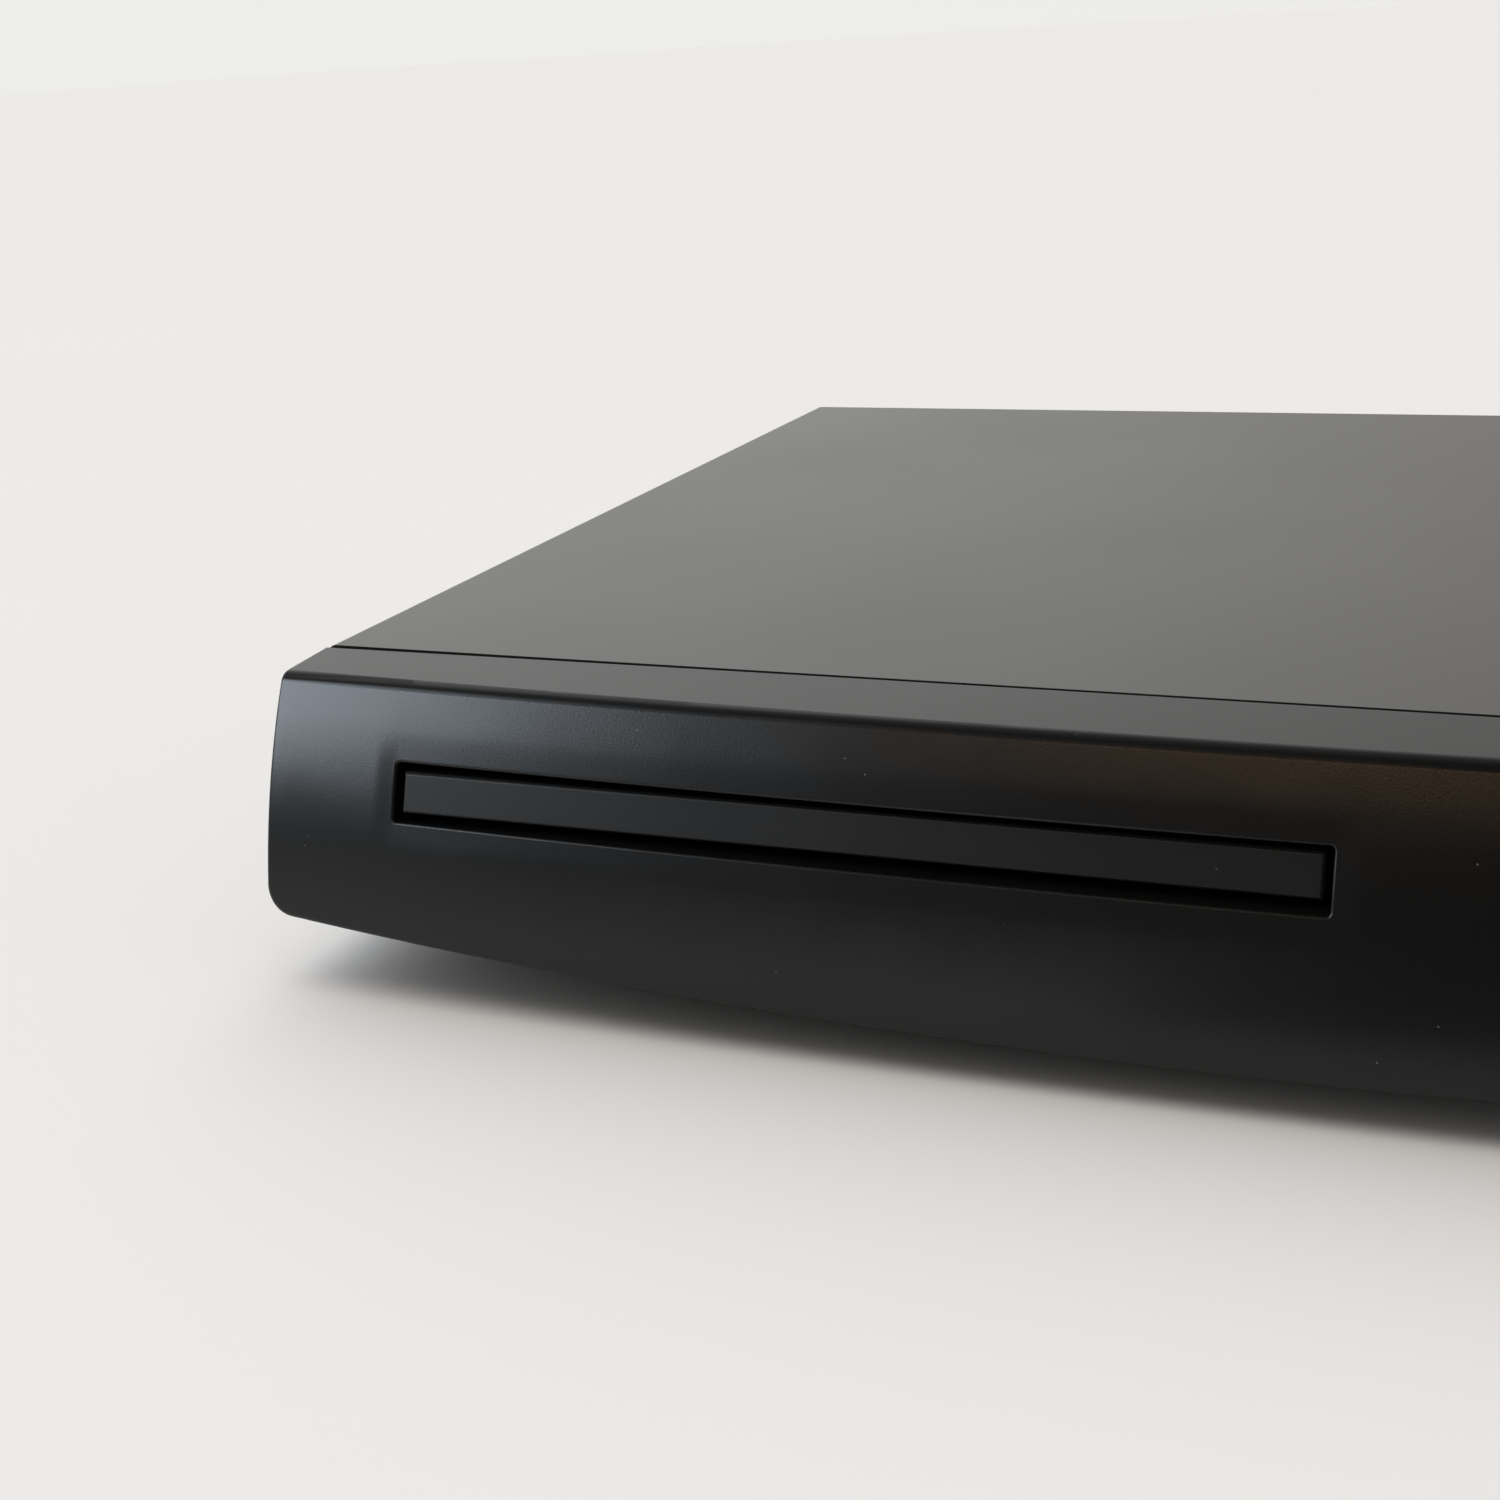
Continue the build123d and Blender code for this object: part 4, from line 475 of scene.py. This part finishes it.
def add_leg(shape, x, y, outward):
    """One gull-wing leg, bent down from a chip's side to the board."""
    width = 0.45
    along = Vector((-outward.y, outward.x, 0))
    start = Vector((x, y, 0)) * MM
    profile = [(0.0, 0.95), (0.45, 0.95), (0.7, 0.18), (1.3, 0.18),
               (1.3, 0.0), (0.55, 0.0), (0.3, 0.77), (0.0, 0.77)]
    sides = []
    for side in (-0.5, 0.5):
        sides.append([shape.verts.new(start + outward * reach * MM + along * side * width * MM
                                      + UP * (BOARD_TOP + rise) * MM) for reach, rise in profile])
    close_between(shape, sides[1], sides[0])


def add_chip_legs():
    """Rows of legs down the long sides of each chip, and all round the square ones."""
    shape = bmesh.new()
    pitch = 1.27
    end_space = 1.2
    for low, high in solid_boxes("main_chips"):
        size = [high[axis] - low[axis] for axis in range(2)]
        square = abs(size[0] - size[1]) < 0.2 * max(size)
        for axis in range(2):
            across = 1 - axis
            if not square and size[across] >= 0.8 * size[axis]:
                continue
            count = int((size[axis] - end_space) / pitch) + 1
            first = (low[axis] + high[axis] - (count - 1) * pitch) / 2
            for side, edge in ((-1, low[across]), (1, high[across])):
                outward = Vector((0, 0, 0))
                outward[across] = side
                for i in range(count):
                    spot = [0, 0]
                    spot[axis] = first + i * pitch
                    spot[across] = edge
                    add_leg(shape, *spot, outward)
    add_piece("chip_legs", shape, "bright_metal")


def stand_box(shape, centre, half, height):
    """A closed box that stands on the boards, round a point given by x and y."""
    add_box(shape, (centre[0] - half[0], centre[1] - half[1], BOARD_TOP),
            (centre[0] + half[0], centre[1] + half[1], BOARD_TOP + height))


def is_free(x, y, taken):
    """Whether a spot on the boards keeps clear of every box that reaches down to them."""
    margin = 2.0
    headroom = 3.0
    return not any(low[0] - margin < x < high[0] + margin and low[1] - margin < y < high[1] + margin
                   and low[2] < BOARD_TOP + headroom for low, high in taken)


def add_small_parts():
    """Surface-mounted resistors and capacitors, scattered where both boards are free."""
    draw = Random(11)
    taken = []
    for name in ("main_chips", "connectors", "capacitors", "heat_sink", "mains_parts", "transformer",
                 "mains_inlet", "jack_block", "power_wires", "inside_screws", "ribbon_cable"):
        taken += solid_boxes(name)
    bodies = bmesh.new()
    ends = bmesh.new()
    border = 4
    long_half = 1.0
    short_half = 0.6
    body_share = 0.7
    end_share = 0.72
    end_place = 0.85
    end_length = 0.15
    proud = 0.02
    for name, tries in (("main_board", 70), ("power_board", 30)):
        low, high = solid_boxes(name)[0]
        for _ in range(tries):
            x = draw.uniform(low[0] + border, high[0] - border)
            y = draw.uniform(low[1] + border, high[1] - border)
            axis = 0 if draw.random() < 0.5 else 1
            if not is_free(x, y, taken):
                continue
            tall = draw.choice((0.45, 0.6, 0.8))
            taken.append(([x - long_half, y - long_half, BOARD_TOP],
                          [x + long_half, y + long_half, BOARD_TOP + tall]))
            half = (long_half, short_half) if axis == 0 else (short_half, long_half)
            stand_box(bodies, (x, y), (half[0] * body_share, half[1] * body_share), tall)
            for side in (-1, 1):
                centre = [x, y]
                centre[axis] += side * half[axis] * end_place
                reach = [half[0] * end_share, half[1] * end_share]
                reach[axis] = half[axis] * end_length
                stand_box(ends, centre, reach, tall + proud)
    add_piece("small_parts", bodies, "chip_plastic")
    add_piece("small_part_ends", ends, "bright_metal")


print_marks()
paint_screw_recess_shade()
label_sockets()
add_chip_legs()
add_small_parts()


# Studio

# The table top's radius in metres, and how bright the room is as light and as background.
FLOOR_REACH = 6.0
FILL_STRENGTH = 0.3
BACKDROP_STRENGTH = 0.85


def make_floor():
    """A large pale table top under the player."""
    mesh = bpy.data.meshes.new("table")
    shape = bmesh.new()
    bmesh.ops.create_circle(shape, cap_ends=True, segments=96, radius=FLOOR_REACH)
    shape.to_mesh(mesh)
    shape.free()
    table = bpy.data.objects.new("table", mesh)
    scene.collection.objects.link(table)
    paper = surface("table_paper", (0.86, 0.855, 0.85), 0.9, Specular_IOR_Level=0.1)
    clouded_colour(paper, 300, (0.85, 0.845, 0.84), (0.87, 0.865, 0.86))
    mesh.materials.append(paper)


def front_pieces():
    """The front moulding with what sits in it, which alone mirrors the softboxes."""
    group = bpy.data.collections.new("front_pieces")
    for name in ("front_panel", "tray_door", "ir_window", "standby_lamp", *BUTTONS):
        group.objects.link(nodes[name])
    return group


def softbox(name, fronts, place, target, width, height, watts, colour):
    """A light panel of this size that points at a target and shows in their reflections alone."""
    data = bpy.data.lights.new(name, "AREA")
    data.shape = "RECTANGLE"
    data.size = width
    data.size_y = height
    data.energy = watts
    data.color = colour
    lamp = bpy.data.objects.new(name, data)
    lamp.location = place
    away = Vector(target) - Vector(place)
    lamp.rotation_euler = away.to_track_quat("-Z", "Y").to_euler()
    lamp.visible_diffuse = False
    lamp.light_linking.receiver_collection = fronts
    scene.collection.objects.link(lamp)


def sky_light(name, strength, spread, towards, colour):
    """Broad light from high up, left out of the reflections."""
    data = bpy.data.lights.new(name, "SUN")
    data.energy = strength
    data.angle = radians(spread)
    data.color = colour
    lamp = bpy.data.objects.new(name, data)
    lamp.rotation_euler = Vector(towards).to_track_quat("-Z", "Y").to_euler()
    lamp.visible_glossy = False
    scene.collection.objects.link(lamp)


def make_flag():
    """A black card low in front on the right, that only reflections see."""
    mesh = bpy.data.meshes.new("flag")
    above_table = 0.003
    outline = ((-0.08, -1.3), (1.6, -1.3), (1.6, -0.17), (-0.02, -0.17))
    mesh.from_pydata([(x, y, above_table) for x, y in outline], [], [(0, 1, 2, 3)])
    mesh.materials.append(surface("flag_cloth", (0.02, 0.02, 0.02), 0.9))
    flag = bpy.data.objects.new("flag", mesh)
    flag.visible_camera = False
    flag.visible_diffuse = False
    flag.visible_shadow = False
    flag.visible_transmission = False
    scene.collection.objects.link(flag)


def make_world():
    """A pale room: even light on everything, and for reflections bright walls behind and to the
    left, a dim ceiling and a dark side in front."""
    world = bpy.data.worlds.new("room")
    scene.world = world
    world.use_nodes = True
    background = world.node_tree.nodes["Background"]
    direction = add_node(world, "SeparateXYZ", Vector=add_node(world, "TexCoord").outputs["Generated"])
    depth = ramp(world, direction.outputs["Y"], -0.5, 0.6, 0.05, 1.0)
    side = ramp(world, direction.outputs["X"], -0.6, 0.2, 1.12, 0.66)
    ceiling = ramp(world, direction.outputs["Z"], 0.48, 0.9, 1.0, 0.38)
    walls = calculate(world, "MULTIPLY", calculate(world, "MULTIPLY", depth, side), ceiling)
    rays = add_node(world, "LightPath")
    lighting = add_node(world, "Mix", Factor=rays.outputs["Is Glossy Ray"], A=FILL_STRENGTH, B=walls)
    seen = add_node(world, "Mix", Factor=rays.outputs["Is Camera Ray"], A=lighting.outputs["Result"],
                    B=BACKDROP_STRENGTH)
    feed(world, background.inputs["Strength"], seen.outputs["Result"])
    warmth = ramp(world, direction.outputs["X"], -0.5, 0.5)
    feed(world, background.inputs["Color"], tint(world, warmth, (1.0, 1.0, 0.985), (1.0, 0.95, 0.92)))


make_floor()
make_world()
sky_light("skylight", 2.6, 90, (0.72, -0.45, -1), (0.935, 0.965, 1.0))
sky_light("lamp_light", 0.33, 50, (0.1, 0.15, -1), (1.0, 0.74, 0.46))
make_flag()
fronts = front_pieces()
softbox("left_window", fronts, (-0.95, -0.75, 0.55), (-0.1, -0.1, 0.03), 0.5, 0.5, 10,
        (0.80, 0.90, 1.0))
softbox("warm_wall", fronts, (-0.2, -1.22, 0.95), (0.02, -0.1, 0.04), 0.6, 0.07, 1.35,
        (1.0, 0.62, 0.32))


# Camera

# Metres and radians; the focal length is a share of the picture's width.
CAMERA_PLACE = (0.06653, -0.385659, 0.137873)
CAMERA_YAW = -0.42163
CAMERA_PITCH = 0.3124
CAMERA_ROLL = -0.062339
SENSOR_MM = 36.0
FOCAL_SHARE = 2354 / 1500


def make_camera():
    """The camera that was fitted to the photograph's edges."""
    forward = Vector((sin(CAMERA_YAW) * cos(CAMERA_PITCH), cos(CAMERA_YAW) * cos(CAMERA_PITCH),
                      -sin(CAMERA_PITCH)))
    level_right = Vector((cos(CAMERA_YAW), -sin(CAMERA_YAW), 0))
    level_up = level_right.cross(forward)
    right = level_right * cos(CAMERA_ROLL) + level_up * sin(CAMERA_ROLL)
    up = level_up * cos(CAMERA_ROLL) - level_right * sin(CAMERA_ROLL)
    data = bpy.data.cameras.new("camera")
    data.sensor_width = SENSOR_MM
    data.lens = SENSOR_MM * FOCAL_SHARE
    data.clip_start = 0.01
    camera = bpy.data.objects.new("camera", data)
    turn = Matrix((right, up, -forward)).transposed().to_4x4()
    camera.matrix_world = Matrix.Translation(CAMERA_PLACE) @ turn
    scene.collection.objects.link(camera)
    scene.camera = camera


make_camera()
scene.view_settings.view_transform = "Standard"
